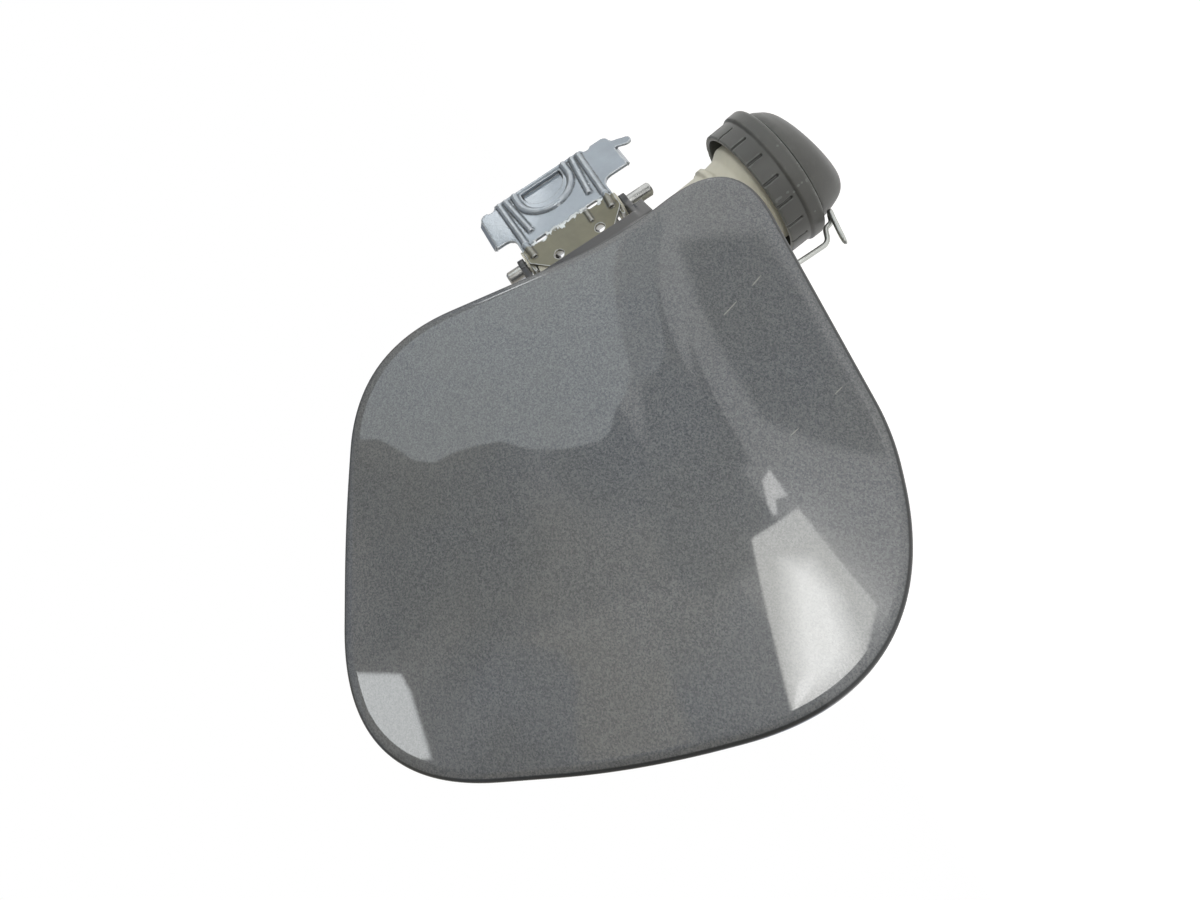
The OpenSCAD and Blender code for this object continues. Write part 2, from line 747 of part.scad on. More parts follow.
module catch_post() {
    r = rivet_d / 2;
    neck = coil_r - wire_d / 2 - 0.45;
    head_y = foot_y + coil_h + 2 * slack;
    color([0.7, 0.71, 0.72])
        translate([post_x, 0, post_z])
            rotate([-90, 0, 0])
                rotate_extrude($fn = small_fn)
                    polygon([[0, panel_y - panel_t - 1.4], [r + 0.6, panel_y - panel_t - 1.4],
                             [r + 1.2, panel_y - panel_t], [r, panel_y - panel_t], [r, foot_y],
                             [neck, foot_y], [neck, head_y], [coil_r + 1.6, head_y],
                             [coil_r + 1.6, head_y + 0.8], [coil_r, head_y + 1.6], [0, head_y + 1.6]]);
}

module catch_wire() {
    steps = 20;
    y0 = foot_y + slack + wire_d / 2;
    y1 = y0 + (coil_turns + 0.25) * coil_pitch;
    coil = [for (i = [0:(coil_turns + 0.25) * steps])
        [post_x + coil_r * cos(90 - 360 * i / steps), y0 + coil_pitch * i / steps,
         post_z + coil_r * sin(90 - 360 * i / steps)]];
    tail = [post_x - 8, y0, post_z + coil_r];
    rim_z = cap_z - lip_h;
    edge_x = cap_x - lip_r;
    arm = [coil[len(coil) - 1], [wire_x, y1, post_z - 9], [wire_x, cap_y, post_z - 22],
           [wire_x + 0.2, cap_y, rim_z + 2.6], [edge_x - 1.4, cap_y, rim_z + 0.2],
           [edge_x - 0.8, cap_y, rim_z - 3.4], [edge_x + 2.6, cap_y, rim_z - 4.7],
           [edge_x + 2.9, cap_y - 3, rim_z - 4.8], [edge_x - 0.8, cap_y - 3, rim_z - 3.9],
           [edge_x - thumb_l, cap_y - 3, rim_z - 1.2]];
    bends = rounded_path(arm, 3.2, 4);
    color([0.75, 0.77, 0.75])
        wire(concat([tail], coil, [for (i = [1:len(bends) - 1]) bends[i]]), wire_d / 2, 10);
}

module cap_skirt() {
    inner = skirt_r - skirt_wall;
    color([0.13, 0.13, 0.13])
        at_cap()
            difference() {
                rotate_extrude($fn = round_fn)
                    polygon([[inner, 0.4], [inner + 0.4, 0], [skirt_r - 0.5, 0], [skirt_r, 0.5],
                             [skirt_r, skirt_h - 0.2], [lip_r - 0.3, skirt_h + 0.3], [lip_r, skirt_h + 0.9],
                             [lip_r, lip_h - 1.2], [lip_r - 0.4, lip_h - 0.4], [lip_r - 1.2, lip_h],
                             [plug_r + 0.1, lip_h], [plug_r + 0.1, core_top], [inner, core_top]]);
                for (i = [0:notches - 1])
                    rotate([0, 0, 360 * i / notches])
                        translate([skirt_r - 0.9, -notch_w / 2, -1])
                            cube([3, notch_w, notch_h + 1]);
            }
}

grip_n = 40;
function grip_ring(a, b, shift, z, k) =
    [for (i = [0:grip_n - 1]) let (u = a * cos(360 * i / grip_n) + shift, v = b * sin(360 * i / grip_n))
        [u, v, z - k * u]];
module cap_grip() {
    k = grip_slope;
    rise = grip_h - 31;
    rings = [grip_ring(grip_r - 0.6, grip_r - 0.6, 0, lip_h + 0.3, 0),
             grip_ring(grip_r, grip_r, 0, lip_h + 1, 0),
             grip_ring(grip_r - 0.2, grip_r - 0.4, 0, lip_h + 3.5, 0),
             grip_ring(grip_r - 1.2, grip_r - 2.2, 0.1, lip_h + 6.5 + rise / 2, k * 0.4),
             grip_ring(grip_r - 2.8, grip_r - 5.2, 0.3, lip_h + 10.2 + rise, k * 0.7),
             grip_ring(grip_r - 4.9, grip_r - 9.2, 0.5, lip_h + 12.4 + rise, k * 0.8),
             grip_ring(grip_r - 6.8, grip_r - 12, 0.9, lip_h + 13.6 + rise, k * 0.92),
             grip_ring(grip_r - 9, grip_r - 14.6, 1.2, lip_h + 14.3 + rise, k),
             grip_ring(grip_r - 15, grip_r - 19.5, 1, lip_h + 14.9 + rise, k)];
    color([0.12, 0.12, 0.12])
        at_cap()
            rotate([0, 0, grip_turn])
                union() {
                    polyhedron(concat([[0, 0, lip_h + 0.3]], [for (r = rings) each r], [[0, 0, lip_h + 15.1 + rise]]),
                               shell_faces(len(rings), grip_n));
                    translate([0, 0, core_top])
                        cylinder(r = plug_r, h = lip_h + 2 - core_top, $fn = round_fn);
                    translate([0, 0, lip_h])
                        cylinder(r = plug_r + 1.8, h = 2, $fn = round_fn);
                }
}

module cap_core() {
    color([0.2, 0.2, 0.21])
        at_cap()
            difference() {
                union() {
                    translate([0, 0, core_bottom])
                        cylinder(r = core_r, h = core_top - core_flange - core_bottom, $fn = round_fn);
                    translate([0, 0, core_top - core_flange])
                        cylinder(r = spigot_r + 0.8, h = core_flange, $fn = round_fn);
                    for (a = [0, 180])
                        rotate([0, 0, a - lug_a / 2])
                            rotate_extrude(angle = lug_a, $fn = round_fn)
                                translate([core_r - 1.2, 1])
                                    square([spigot_bore_r + 1.1 - core_r + 1.2, 3]);
                }
                translate([0, 0, core_bottom + 3])
                    cylinder(r = cavity_r, h = 19, $fn = round_fn);
                translate([0, 0, core_bottom - 1])
                    cylinder(r = 3.5, h = 5, $fn = small_fn);
            }
}

module cap_seal() {
    color([0.08, 0.08, 0.09])
        at_cap()
            translate([0, 0, core_top - core_flange - seal_t])
                difference() {
                    cylinder(r = spigot_r, h = seal_t, $fn = round_fn);
                    translate([0, 0, -1])
                        cylinder(r = core_r + 0.1, h = seal_t + 2, $fn = round_fn);
                }
}

module ratchet_ring() {
    teeth = 12;
    inner = spigot_r + 1;
    color([0.75, 0.72, 0.6])
        at_cap()
            translate([0, 0, core_top - core_flange + 0.2])
                difference() {
                    cylinder(r = skirt_r - skirt_wall - 0.2, h = core_flange - 0.2, $fn = round_fn);
                    translate([0, 0, -1])
                        cylinder(r = inner, h = core_flange + 2, $fn = round_fn);
                    for (i = [0:teeth - 1])
                        rotate([0, 0, 360 * i / teeth])
                            translate([inner - 1, 0, -1])
                                rotate([0, 0, 30])
                                    cube([2.6, 1.6, core_flange + 2]);
                }
}

module valve_guide() {
    color([0.82, 0.8, 0.72])
        at_cap()
            translate([0, 0, guide_z])
                difference() {
                    cylinder(r = cavity_r, h = 2, $fn = round_fn);
                    translate([0, 0, -1])
                        cylinder(r = stem_r + pin_fit, h = 4, $fn = small_fn);
                    for (a = [0:60:300])
                        rotate([0, 0, a])
                            translate([cavity_r * 0.66, 0, -1])
                                cylinder(r = 1.8, h = 4, $fn = small_fn);
                }
}
module valve_plate() {
    color([0.74, 0.6, 0.3])
        at_cap()
            translate([0, 0, plate_z])
                rotate_extrude($fn = round_fn)
                    polygon([[0, 0], [5.5, 0], [6, 0.5], [6, 1.5], [stem_r, 1.5], [stem_r, guide_z + 3.5 - plate_z],
                             [stem_r - 0.4, guide_z + 4 - plate_z], [0, guide_z + 4 - plate_z]]);
}
module valve_spring() {
    turns = 5;
    steps = 14;
    r = 3.4;
    d = 0.9;
    z0 = plate_z + 1.5 + slack + d / 2;
    z1 = guide_z - d / 2 - 0.02;
    color([0.6, 0.61, 0.63])
        at_cap()
            wire([for (i = [0:turns * steps]) [r * cos(360 * i / steps), r * sin(360 * i / steps),
                                               z0 + (z1 - z0) * i / (turns * steps)]], d / 2, 8);
}

hinge_bracket();
hinge_bushes();
hinge_block();
hinge_spring();
hinge_pin();
hinge_leaf();
flap_skin();
inner_panel();
striker_loop();
bump_stops();
cap_holder();
holder_rivets();
catch_post();
catch_wire();
cap_skirt();
cap_grip();
cap_core();
cap_seal();
ratchet_ring();
valve_guide();
valve_spring();
valve_plate();
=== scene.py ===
"""The finish of a car fuel door: painted flap, pressed hinge bracket, parked filler cap and its catch.

Each operator dresses one piece or one group of like pieces, in metres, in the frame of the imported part.
"""

import json
import math

import bmesh
import bpy
import numpy as np
from bpy.props import FloatProperty, FloatVectorProperty, IntProperty, PointerProperty
from bpy.types import Operator, Panel, PropertyGroup
from mathutils import Matrix, Vector

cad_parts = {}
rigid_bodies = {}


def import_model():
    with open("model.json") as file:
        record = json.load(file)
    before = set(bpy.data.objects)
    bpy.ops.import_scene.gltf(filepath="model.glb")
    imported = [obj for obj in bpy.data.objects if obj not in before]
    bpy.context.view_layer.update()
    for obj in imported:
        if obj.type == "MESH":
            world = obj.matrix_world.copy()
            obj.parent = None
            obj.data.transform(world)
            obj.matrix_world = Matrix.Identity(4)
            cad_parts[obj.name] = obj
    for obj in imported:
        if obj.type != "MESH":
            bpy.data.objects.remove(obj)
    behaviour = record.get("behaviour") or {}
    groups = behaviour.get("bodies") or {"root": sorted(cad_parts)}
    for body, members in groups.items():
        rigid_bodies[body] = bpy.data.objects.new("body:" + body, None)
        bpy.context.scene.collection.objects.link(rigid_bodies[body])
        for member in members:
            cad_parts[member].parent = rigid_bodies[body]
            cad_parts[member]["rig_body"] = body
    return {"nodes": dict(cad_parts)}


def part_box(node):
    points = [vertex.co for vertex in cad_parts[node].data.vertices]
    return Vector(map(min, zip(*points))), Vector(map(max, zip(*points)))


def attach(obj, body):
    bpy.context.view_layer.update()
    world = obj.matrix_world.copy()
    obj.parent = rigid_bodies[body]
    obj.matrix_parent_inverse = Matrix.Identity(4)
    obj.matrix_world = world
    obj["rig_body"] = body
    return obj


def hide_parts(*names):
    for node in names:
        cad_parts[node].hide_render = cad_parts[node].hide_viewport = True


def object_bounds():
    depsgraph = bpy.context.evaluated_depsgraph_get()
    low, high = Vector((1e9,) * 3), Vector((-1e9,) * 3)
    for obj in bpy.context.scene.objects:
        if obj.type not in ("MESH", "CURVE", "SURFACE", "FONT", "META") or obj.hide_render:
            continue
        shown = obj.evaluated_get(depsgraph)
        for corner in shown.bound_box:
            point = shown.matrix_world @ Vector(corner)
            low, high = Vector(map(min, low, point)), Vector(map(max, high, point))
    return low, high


bl_info = {
    "name": "Fuel Door Finish",
    "version": (1, 0, 0),
    "blender": (4, 5, 0),
    "location": "3D View > Sidebar > Fuel Door",
    "description": "Models and paints the visible pieces of a car fuel door",
    "category": "Object",
}

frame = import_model()
CAD_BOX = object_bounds()
MM = 0.001


# Values that a user would change


def metres(name, description, default):
    """A property for a size in metres."""
    return FloatProperty(name=name, description=description, default=default, unit="LENGTH")


def brightness(name, description, default):
    """A property for a strength of light."""
    return FloatProperty(name=name, description=description, default=default)


def colouring(name, description, default):
    """A property for a colour."""
    return FloatVectorProperty(name=name, description=description, default=default, subtype="COLOR")


class FlapShape(PropertyGroup):
    """Sizes of the painted flap, seen from its painted side."""

    centre: FloatVectorProperty(
        name="Centre", description="Middle of the flap in the plane of its edge",
        default=(-0.1145, -0.025, 0.033), subtype="TRANSLATION", unit="LENGTH")
    free_side: metres("Free side", "Free edge, left of the centre", 0.073)
    hinge_side: metres("Hinge side", "Waist of the hinge edge, right of the centre", 0.0895)
    lower_side: metres("Lower side", "Lower edge, below the centre", 0.080)
    upper_side: metres("Upper side", "Upper edge, above the centre", 0.0955)
    crown: metres("Crown", "Height of the dome over the rolled edge", 0.0065)
    roll: metres("Roll", "Outside radius of the rolled edge", 0.0025)
    flange: metres("Flange", "Depth of the return flange", 0.009)
    hem: metres("Hem", "Width of the hem", 0.007)
    sheet: metres("Sheet", "Thickness of the steel", 0.0008)
    sides: IntProperty(name="Sides", description="Points round the outline", default=288, min=96)


class BracketShape(PropertyGroup):
    """Sizes of the bracket's pressed upper plate, from its bend."""

    bend: metres("Bend", "Height of the bend over the holes", 0.013)
    tilt: FloatProperty(
        name="Tilt", description="Angle of the bend", default=math.radians(12), subtype="ANGLE")
    sheet: metres("Sheet", "Thickness of the plate", 0.0016)
    half_width: metres("Half width", "Half the width of the plate", 0.022)
    length: metres("Length", "Length from bend to upper edge", 0.0285)
    ear_low: metres("Lower ear", "Edge of the ear on the cap's side", 0.034)
    ear_high: metres("Upper ear", "Edge of the other ear", 0.030)
    ear_start: metres("Ear start", "Start of the ears over the bend", 0.007)
    field: metres("Field", "Radius of the pressed field", 0.0098)
    depth: metres("Depth", "Depth of the pressed field", 0.0018)
    bead: metres("Bead", "Radius of the bead round the field", 0.0015)
    rib: metres("Rib", "Radius of the ribs", 0.0013)


class CapShape(PropertyGroup):
    """Sizes of the filler cap's grip, in the cap's own frame."""

    rim: FloatVectorProperty(
        name="Rim centre", description="Middle of the skirt's open rim",
        default=(-0.0137, 0.020, -0.0696), subtype="TRANSLATION", unit="LENGTH")
    lean: FloatVectorProperty(
        name="Lean", description="Lean of the cap's axis towards the flap and the hinge",
        default=(math.radians(-3.5), math.radians(-4.5), 0), subtype="EULER")
    grip_turn: FloatProperty(
        name="Grip turn", description="Direction of the grip's slope round the axis",
        default=math.radians(29), subtype="ANGLE")
    lip_height: metres("Lip height", "Height of the skirt and its lip", 0.016)
    grip_radius: metres("Grip radius", "Radius of the grip's foot", 0.0262)
    grip_slope: FloatProperty(name="Grip slope", description="Slope of the grip's top", default=0.19)
    plug_radius: metres("Plug radius", "Radius of the plug that joins grip and skirt", 0.0218)
    plug_depth: metres("Plug depth", "Height where the plug starts", 0.0138)


class Finishes(PropertyGroup):
    """Colours of the paints, plastics and platings."""

    flap_paint: colouring("Flap paint", "Dark grey metallic", (0.118, 0.127, 0.137))
    bracket_paint: colouring("Bracket paint", "Thin blue grey overspray", (0.30, 0.34, 0.385))
    bracket_primer: colouring("Bracket primer", "Olive primer below the overspray", (0.15, 0.137, 0.088))
    nylon: colouring("Nylon", "Natural nylon", (0.70, 0.675, 0.565))
    cap_plastic: colouring("Cap plastic", "Weathered black plastic", (0.105, 0.106, 0.100))
    plating: colouring("Plating", "Zinc plating", (0.55, 0.565, 0.54))


class StudioLevels(PropertyGroup):
    """Strengths of the studio's light."""

    window: brightness("Window", "Bright card that shows in the paint", 6.4)
    window_core: brightness("Window core", "Brightest part of the window", 13.0)
    window_top: brightness("Window top", "Narrow light over the window", 6.5)
    side_window: brightness("Side window", "Small card at the free corner", 7.5)
    ceiling: brightness("Ceiling", "Large soft card towards the hinge", 1.75)
    ceiling_end: brightness("Ceiling end", "Dimmer end of the ceiling", 0.95)
    opening: brightness("Opening", "Soft light beyond the ceiling", 3.0)
    wall: brightness("Wall", "Pale wall beside the window", 2.6)
    warm_wall: brightness("Warm wall", "Warm wall below the ceiling", 0.85)
    shade: brightness("Shade", "Dim part of the room", 0.3)
    dark: brightness("Dark", "Dark things in the room", 0.15)
    key: brightness("Key", "Card that lights the bracket", 8.0)
    cap_key: brightness("Cap key", "Card that lights the cap", 7.0)
    room: brightness("Room", "Light of the room behind the camera", 0.45)
    floor_drop: metres("Floor drop", "Height of the part over the floor", 0.16)


# Selection and modelling helpers


def select_only(piece):
    """Leaves one object selected and active, in object mode."""
    if bpy.context.object and bpy.context.object.mode != "OBJECT":
        bpy.ops.object.mode_set(mode="OBJECT")
    bpy.ops.object.select_all(action="DESELECT")
    piece.select_set(True)
    bpy.context.view_layer.objects.active = piece


def edit_all(piece, **steps):
    """Runs mesh operators, each named with its settings, on all of a piece."""
    select_only(piece)
    bpy.ops.object.mode_set(mode="EDIT")
    for name, settings in steps.items():
        bpy.ops.mesh.select_all(action="SELECT")
        getattr(bpy.ops.mesh, name)(**settings)
    bpy.ops.object.mode_set(mode="OBJECT")


def circle_through(name, points, fill):
    """Starts a piece as a circle whose vertices are laid on the points."""
    bpy.ops.object.select_all(action="DESELECT")
    bpy.ops.mesh.primitive_circle_add(vertices=len(points), fill_type=fill)
    piece = bpy.context.object
    piece.name = name
    for vertex, point in zip(piece.data.vertices, points):
        vertex.co = point
    return piece


def next_ring(piece, last, points):
    """Extrudes the selected ring, which lies on the points called last, onto new points."""
    bpy.ops.mesh.extrude_edges_move()
    mesh = bmesh.from_edit_mesh(piece.data)
    old = np.array(last)
    for vertex in [v for v in mesh.verts if v.select]:
        vertex.co = points[int(np.argmin(((old - np.array(vertex.co)) ** 2).sum(1)))]
    bmesh.update_edit_mesh(piece.data)
    return points


def loft(name, rings, close_first=False):
    """A skin through rings of equal length. Its last end closes to a point, and its first if asked."""
    piece = circle_through(name, rings[0], "NOTHING")
    bpy.ops.object.mode_set(mode="EDIT")
    last = rings[0]
    for ring in rings[1:]:
        last = next_ring(piece, last, ring)
    bpy.ops.mesh.merge(type="CENTER")
    if close_first:
        bpy.ops.mesh.select_all(action="DESELECT")
        mesh = bmesh.from_edit_mesh(piece.data)
        for edge in mesh.edges:
            edge.select = edge.is_boundary
        bmesh.update_edit_mesh(piece.data)
        bpy.ops.mesh.extrude_edges_move()
        bpy.ops.mesh.merge(type="CENTER")
    bpy.ops.object.mode_set(mode="OBJECT")
    return piece


def face_outwards(piece):
    """Merges doubles and turns all normals outwards."""
    edit_all(piece, remove_doubles={"threshold": 1e-6}, normals_make_consistent={"inside": False})


def apply_modifier(piece, kind, **settings):
    """Adds one modifier with its settings and applies it."""
    select_only(piece)
    bpy.ops.object.modifier_add(type=kind)
    modifier = piece.modifiers[-1]
    for name, value in settings.items():
        setattr(modifier, name, value)
    bpy.ops.object.modifier_apply(modifier=modifier.name)


def smooth_shade(piece, degrees):
    """Shades a piece smooth, apart from edges sharper than the angle."""
    select_only(piece)
    bpy.ops.object.shade_smooth_by_angle(angle=math.radians(degrees))


def copy_of(node, ending):
    """A new piece with a merged copy of a node's mesh, named for the node with an ending."""
    mesh = frame["nodes"][node].data.copy()
    mesh.materials.clear()
    piece = bpy.data.objects.new(node + "_" + ending, mesh)
    bpy.context.scene.collection.objects.link(piece)
    edit_all(piece, remove_doubles={"threshold": 2e-6})
    return piece


def pressed(piece, voxel, rounds):
    """Draws a piece, or its overlapping solids, into one skin with eased edges."""
    apply_modifier(piece, "REMESH", mode="VOXEL", voxel_size=voxel, adaptivity=0.0)
    apply_modifier(piece, "SMOOTH", factor=0.5, iterations=rounds)
    smooth_shade(piece, degrees=60)
    return piece


def eased(piece, width, degrees=40):
    """Joins a piece's flats and puts a small bevel on its edges."""
    edit_all(piece, dissolve_limited={"angle_limit": math.radians(0.3)})
    apply_modifier(piece, "BEVEL", width=width, segments=2, limit_method="ANGLE",
                   angle_limit=math.radians(degrees), use_clamp_overlap=False, harden_normals=False)
    smooth_shade(piece, degrees)
    return piece


def rounded(wire):
    """Rounds a wire's sides and bends."""
    apply_modifier(wire, "SUBSURF", levels=1, render_levels=1)
    smooth_shade(wire, degrees=60)
    return wire


def slab(name, outline_points, low, high, place):
    """A plate whose outline lies in the XZ plane, from one Y to another, then moved to its place."""
    piece = circle_through(name, [(x, low, z) for x, z in outline_points], "NGON")
    edit_all(piece, extrude_region_move={"TRANSFORM_OT_translate": {"value": (0, high - low, 0)}},
             normals_make_consistent={"inside": False})
    piece.data.transform(place)
    return piece


def bar(name, path, radius, place):
    """A round bar along a path that keeps to one plane across Y, then moved to its place."""
    out = Vector((0, 1, 0))
    turns = [2 * math.pi * k / 16 for k in range(16)]
    rings = []
    for i, point in enumerate(path):
        along = (path[min(i + 1, len(path) - 1)] - path[max(i - 1, 0)]).normalized()
        side = along.cross(out).normalized()
        rings.append([point + radius * (math.cos(t) * side + math.sin(t) * out) for t in turns])
    rings.append([path[-1] + 0.4 * (point - path[-1]) for point in rings[-1]])
    piece = loft(name, rings, close_first=True)
    face_outwards(piece)
    piece.data.transform(place)
    return piece


def arc(x, z, radius, first, last, count=8):
    """Points of an arc in the XZ plane, from one angle to another in degrees."""
    angles = [math.radians(first + (last - first) * i / count) for i in range(count + 1)]
    return [(x + radius * math.cos(a), z + radius * math.sin(a)) for a in angles]


def in_plane(points):
    """Points of the XZ plane as places in the frame."""
    return [Vector((x, 0, z)) for x, z in points]


def combine(piece, tool, operation):
    """Adds or takes a tool's volume, and removes the tool from the scene."""
    apply_modifier(piece, "BOOLEAN", object=tool, operation=operation, solver="EXACT")
    bpy.data.objects.remove(tool)


def join(pieces):
    """Joins pieces into the first."""
    select_only(pieces[0])
    for piece in pieces[1:]:
        piece.select_set(True)
    bpy.ops.object.join()
    return pieces[0]


def hand_over(piece, node, material):
    """Lets a finished piece stand for its node, on the node's body."""
    piece.data.materials.clear()
    piece.data.materials.append(material)
    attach(piece, frame["nodes"][node]["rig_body"])
    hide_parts(node)


def dress(node, material):
    """Gives a node that keeps its own mesh a finish."""
    frame["nodes"][node].material_slots[0].material = material


# The flap's outline and dome


def outline(shape):
    """Evenly spaced points round the flap's edge, as distances right of and above its centre."""
    left, right, low, high = -shape.free_side, shape.hinge_side, -shape.lower_side, shape.upper_side
    corners = [
        ((left + 0.042, high + 0.038), 0.054),
        ((0.050, high), 0.020),
        ((right + 0.021, high - 0.033), 0.040),
        ((right, -0.0425), 0.020),
        ((right + 0.0055, low - 0.0175), 0.033),
        ((-0.0265, low), 0.012),
        ((left - 0.0265, low + 0.0315), 0.064),
        ((left, 0.0445), 0.026),
    ]
    dense = []
    for i, (corner, reach) in enumerate(corners):
        here = np.array(corner)
        before = np.array(corners[i - 1][0]) - here
        after = np.array(corners[(i + 1) % len(corners)][0]) - here
        start = here + reach * before / np.linalg.norm(before)
        end = here + reach * after / np.linalg.norm(after)
        for t in np.linspace(0, 1, 40):
            dense.append((1 - t) ** 2 * start + 2 * t * (1 - t) * here + t * t * end)
    dense = np.array(dense + dense[:1])
    walked = np.concatenate([[0], np.cumsum(np.linalg.norm(np.diff(dense, axis=0), axis=1))])
    even = np.linspace(0, walked[-1], shape.sides, endpoint=False)
    return np.stack([np.interp(even, walked, dense[:, k]) for k in (0, 1)], axis=1)


def inset(points, distance):
    """The outline moved inwards, square to itself."""
    along = np.roll(points, -1, axis=0) - np.roll(points, 1, axis=0)
    along /= np.linalg.norm(along, axis=1)[:, None]
    return points + distance * np.stack([along[:, 1], -along[:, 0]], axis=1)


def dome(points):
    """The height, from 0 to 1, of a sheet held at the outline and blown up evenly.

    It is a paraboloid plus the fields of sources that lie outside the outline.
    """
    sources = points[::4] * 1.35

    def fields(p):
        return np.log(np.linalg.norm(p[:, None] - sources[None], axis=2))

    system = np.hstack([fields(points), np.ones((len(points), 1))])
    weights = np.linalg.lstsq(system, (points ** 2).sum(1) / 4, rcond=1e-9)[0]

    def raw(p):
        return np.hstack([fields(p), np.ones((len(p), 1))]) @ weights - (p ** 2).sum(1) / 4

    top = raw(np.array([[0.0, 0.0]]))[0]
    return lambda p: raw(np.asarray(p, float)) / top


def lifted(shape, points, depth):
    """Points of the outline's plane as places in the frame, with each depth behind the edge's plane."""
    depth = np.broadcast_to(depth, len(points))
    x, y, z = shape.centre
    return [Vector((x + p[0], y + d, z + p[1])) for p, d in zip(points, depth)]


# Shader helpers


def rgba(colour, share=1.0):
    """A colour with full alpha, darkened or lightened by a share."""
    return tuple(c * share for c in colour[:3]) + (1.0,)


class Shading:
    """A node tree, with short ways to add its nodes. Most of them give the new node's output."""

    def __init__(self, tree):
        self.tree = tree

    def put(self, kind, inputs=None, **settings):
        """Adds a node. Each input gets a value, or a link where the value is another node's output."""
        node = self.tree.nodes.new(kind)
        for name, value in settings.items():
            setattr(node, name, value)
        for name, value in (inputs or {}).items():
            if isinstance(value, bpy.types.NodeSocket):
                self.tree.links.new(value, node.inputs[name])
            else:
                node.inputs[name].default_value = value
        return node

    def maths(self, operation, a, b=0.0, clamp=False):
        """A Math node."""
        return self.put("ShaderNodeMath", {0: a, 1: b}, operation=operation, use_clamp=clamp).outputs[0]

    def times(self, a, b):
        """One value times another."""
        return self.maths("MULTIPLY", a, b)

    def plus(self, a, b):
        """The sum of two values."""
        return self.maths("ADD", a, b)

    def minus(self, a, b):
        """One value less another."""
        return self.maths("SUBTRACT", a, b)

    def larger(self, a, b):
        """The larger of two values."""
        return self.maths("MAXIMUM", a, b)

    def step(self, value, low, high, out_low=0.0, out_high=1.0):
        """A smooth step of a value from one level to another."""
        return self.put("ShaderNodeMapRange", {0: value, 1: low, 2: high, 3: out_low, 4: out_high},
                        interpolation_type="SMOOTHSTEP").outputs[0]

    def blend(self, share, a, b):
        """A colour Mix node, whose colours are inputs 6 and 7."""
        return self.put("ShaderNodeMix", {0: share, 6: a, 7: b}, data_type="RGBA").outputs[2]

    def laid_over(self, colour, top, mask, share):
        """A colour with another laid over it by a share of a mask."""
        return self.blend(self.times(mask, share), colour, rgba(top))

    def noise(self, vector, scale, detail, **more):
        """The value of a Noise Texture."""
        return self.put("ShaderNodeTexNoise", {"Vector": vector, "Scale": scale, "Detail": detail, **more}
                        ).outputs["Fac"]

    def axes(self, vector):
        """The X, Y and Z of a vector."""
        return self.put("ShaderNodeSeparateXYZ", {0: vector}).outputs


class Effect(Shading):
    """An effect that materials share, as a node group whose outputs are all single values."""

    def __init__(self, name, inputs, outputs):
        super().__init__(bpy.data.node_groups.new(name, "ShaderNodeTree"))
        sockets = self.tree.interface
        sockets.new_socket(name="Vector", in_out="INPUT", socket_type="NodeSocketVector")
        for socket, value in inputs.items():
            kind = "NodeSocketFloat" if isinstance(value, float) else "NodeSocketVector"
            sockets.new_socket(name=socket, in_out="INPUT", socket_type=kind).default_value = value
        for socket in outputs:
            sockets.new_socket(name=socket, in_out="OUTPUT", socket_type="NodeSocketFloat")
        self.given = self.tree.nodes.new("NodeGroupInput").outputs
        self.place = self.given["Vector"]
        self.result = self.tree.nodes.new("NodeGroupOutput").inputs

    def give(self, name, value):
        """Puts a value out of the group."""
        self.tree.links.new(value, self.result[name])


class Finish(Shading):
    """A material, whose even values are set on the Principled shader's own sockets."""

    def __init__(self, name, **plain):
        self.material = bpy.data.materials.new(name)
        self.material.use_nodes = True
        super().__init__(self.material.node_tree)
        self.shader = self.tree.nodes["Principled BSDF"]
        for socket, value in plain.items():
            self.shader.inputs[socket.replace("_", " ")].default_value = value
        self.place = self.put("ShaderNodeTexCoord").outputs["Object"]

    def use(self, name, **inputs):
        """Places a shared effect in the material, with the material's own values."""
        if name not in made_effects:
            made_effects[name] = EFFECTS[name]()
        given = {"Vector": self.place}
        for socket, value in inputs.items():
            given[socket.replace("_", " ")] = value
        return self.put("ShaderNodeGroup", given, node_tree=made_effects[name]).outputs

    def uneven(self, grain, low, high):
        """A value that follows the grain's tone."""
        return self.step(grain["Tone"], 0.0, 1.0, low, high)

    def mottled(self, grain, colour, dark, light):
        """A colour that follows the grain's tone."""
        return self.blend(grain["Tone"], rgba(colour, dark), rgba(colour, light))

    def feed(self, socket, value):
        """Links a value to the shader."""
        self.tree.links.new(value, self.shader.inputs[socket])

    def done(self, colour, roughness, height, strength, distance):
        """Feeds the shader its colour, its roughness and a bump, and gives the material."""
        bump = self.put("ShaderNodeBump", {"Height": height, "Strength": strength, "Distance": distance})
        self.feed("Base Color", colour)
        self.feed("Roughness", roughness)
        self.feed("Normal", bump.outputs[0])
        return self.material


# Shared effects


def grain_effect():
    """Fine grain of a paint or a plastic: a height and an uneven tone."""
    grain = Effect("Fine grain", {"Scale": 1500.0, "Cloud scale": 40.0}, ["Height", "Tone"])
    cloud = grain.noise(grain.place, grain.given["Cloud scale"], 4.0, Roughness=0.6)
    grain.give("Height", grain.noise(grain.place, grain.given["Scale"], 3.0))
    grain.give("Tone", grain.step(cloud, 0.3, 0.7))
    return grain.tree


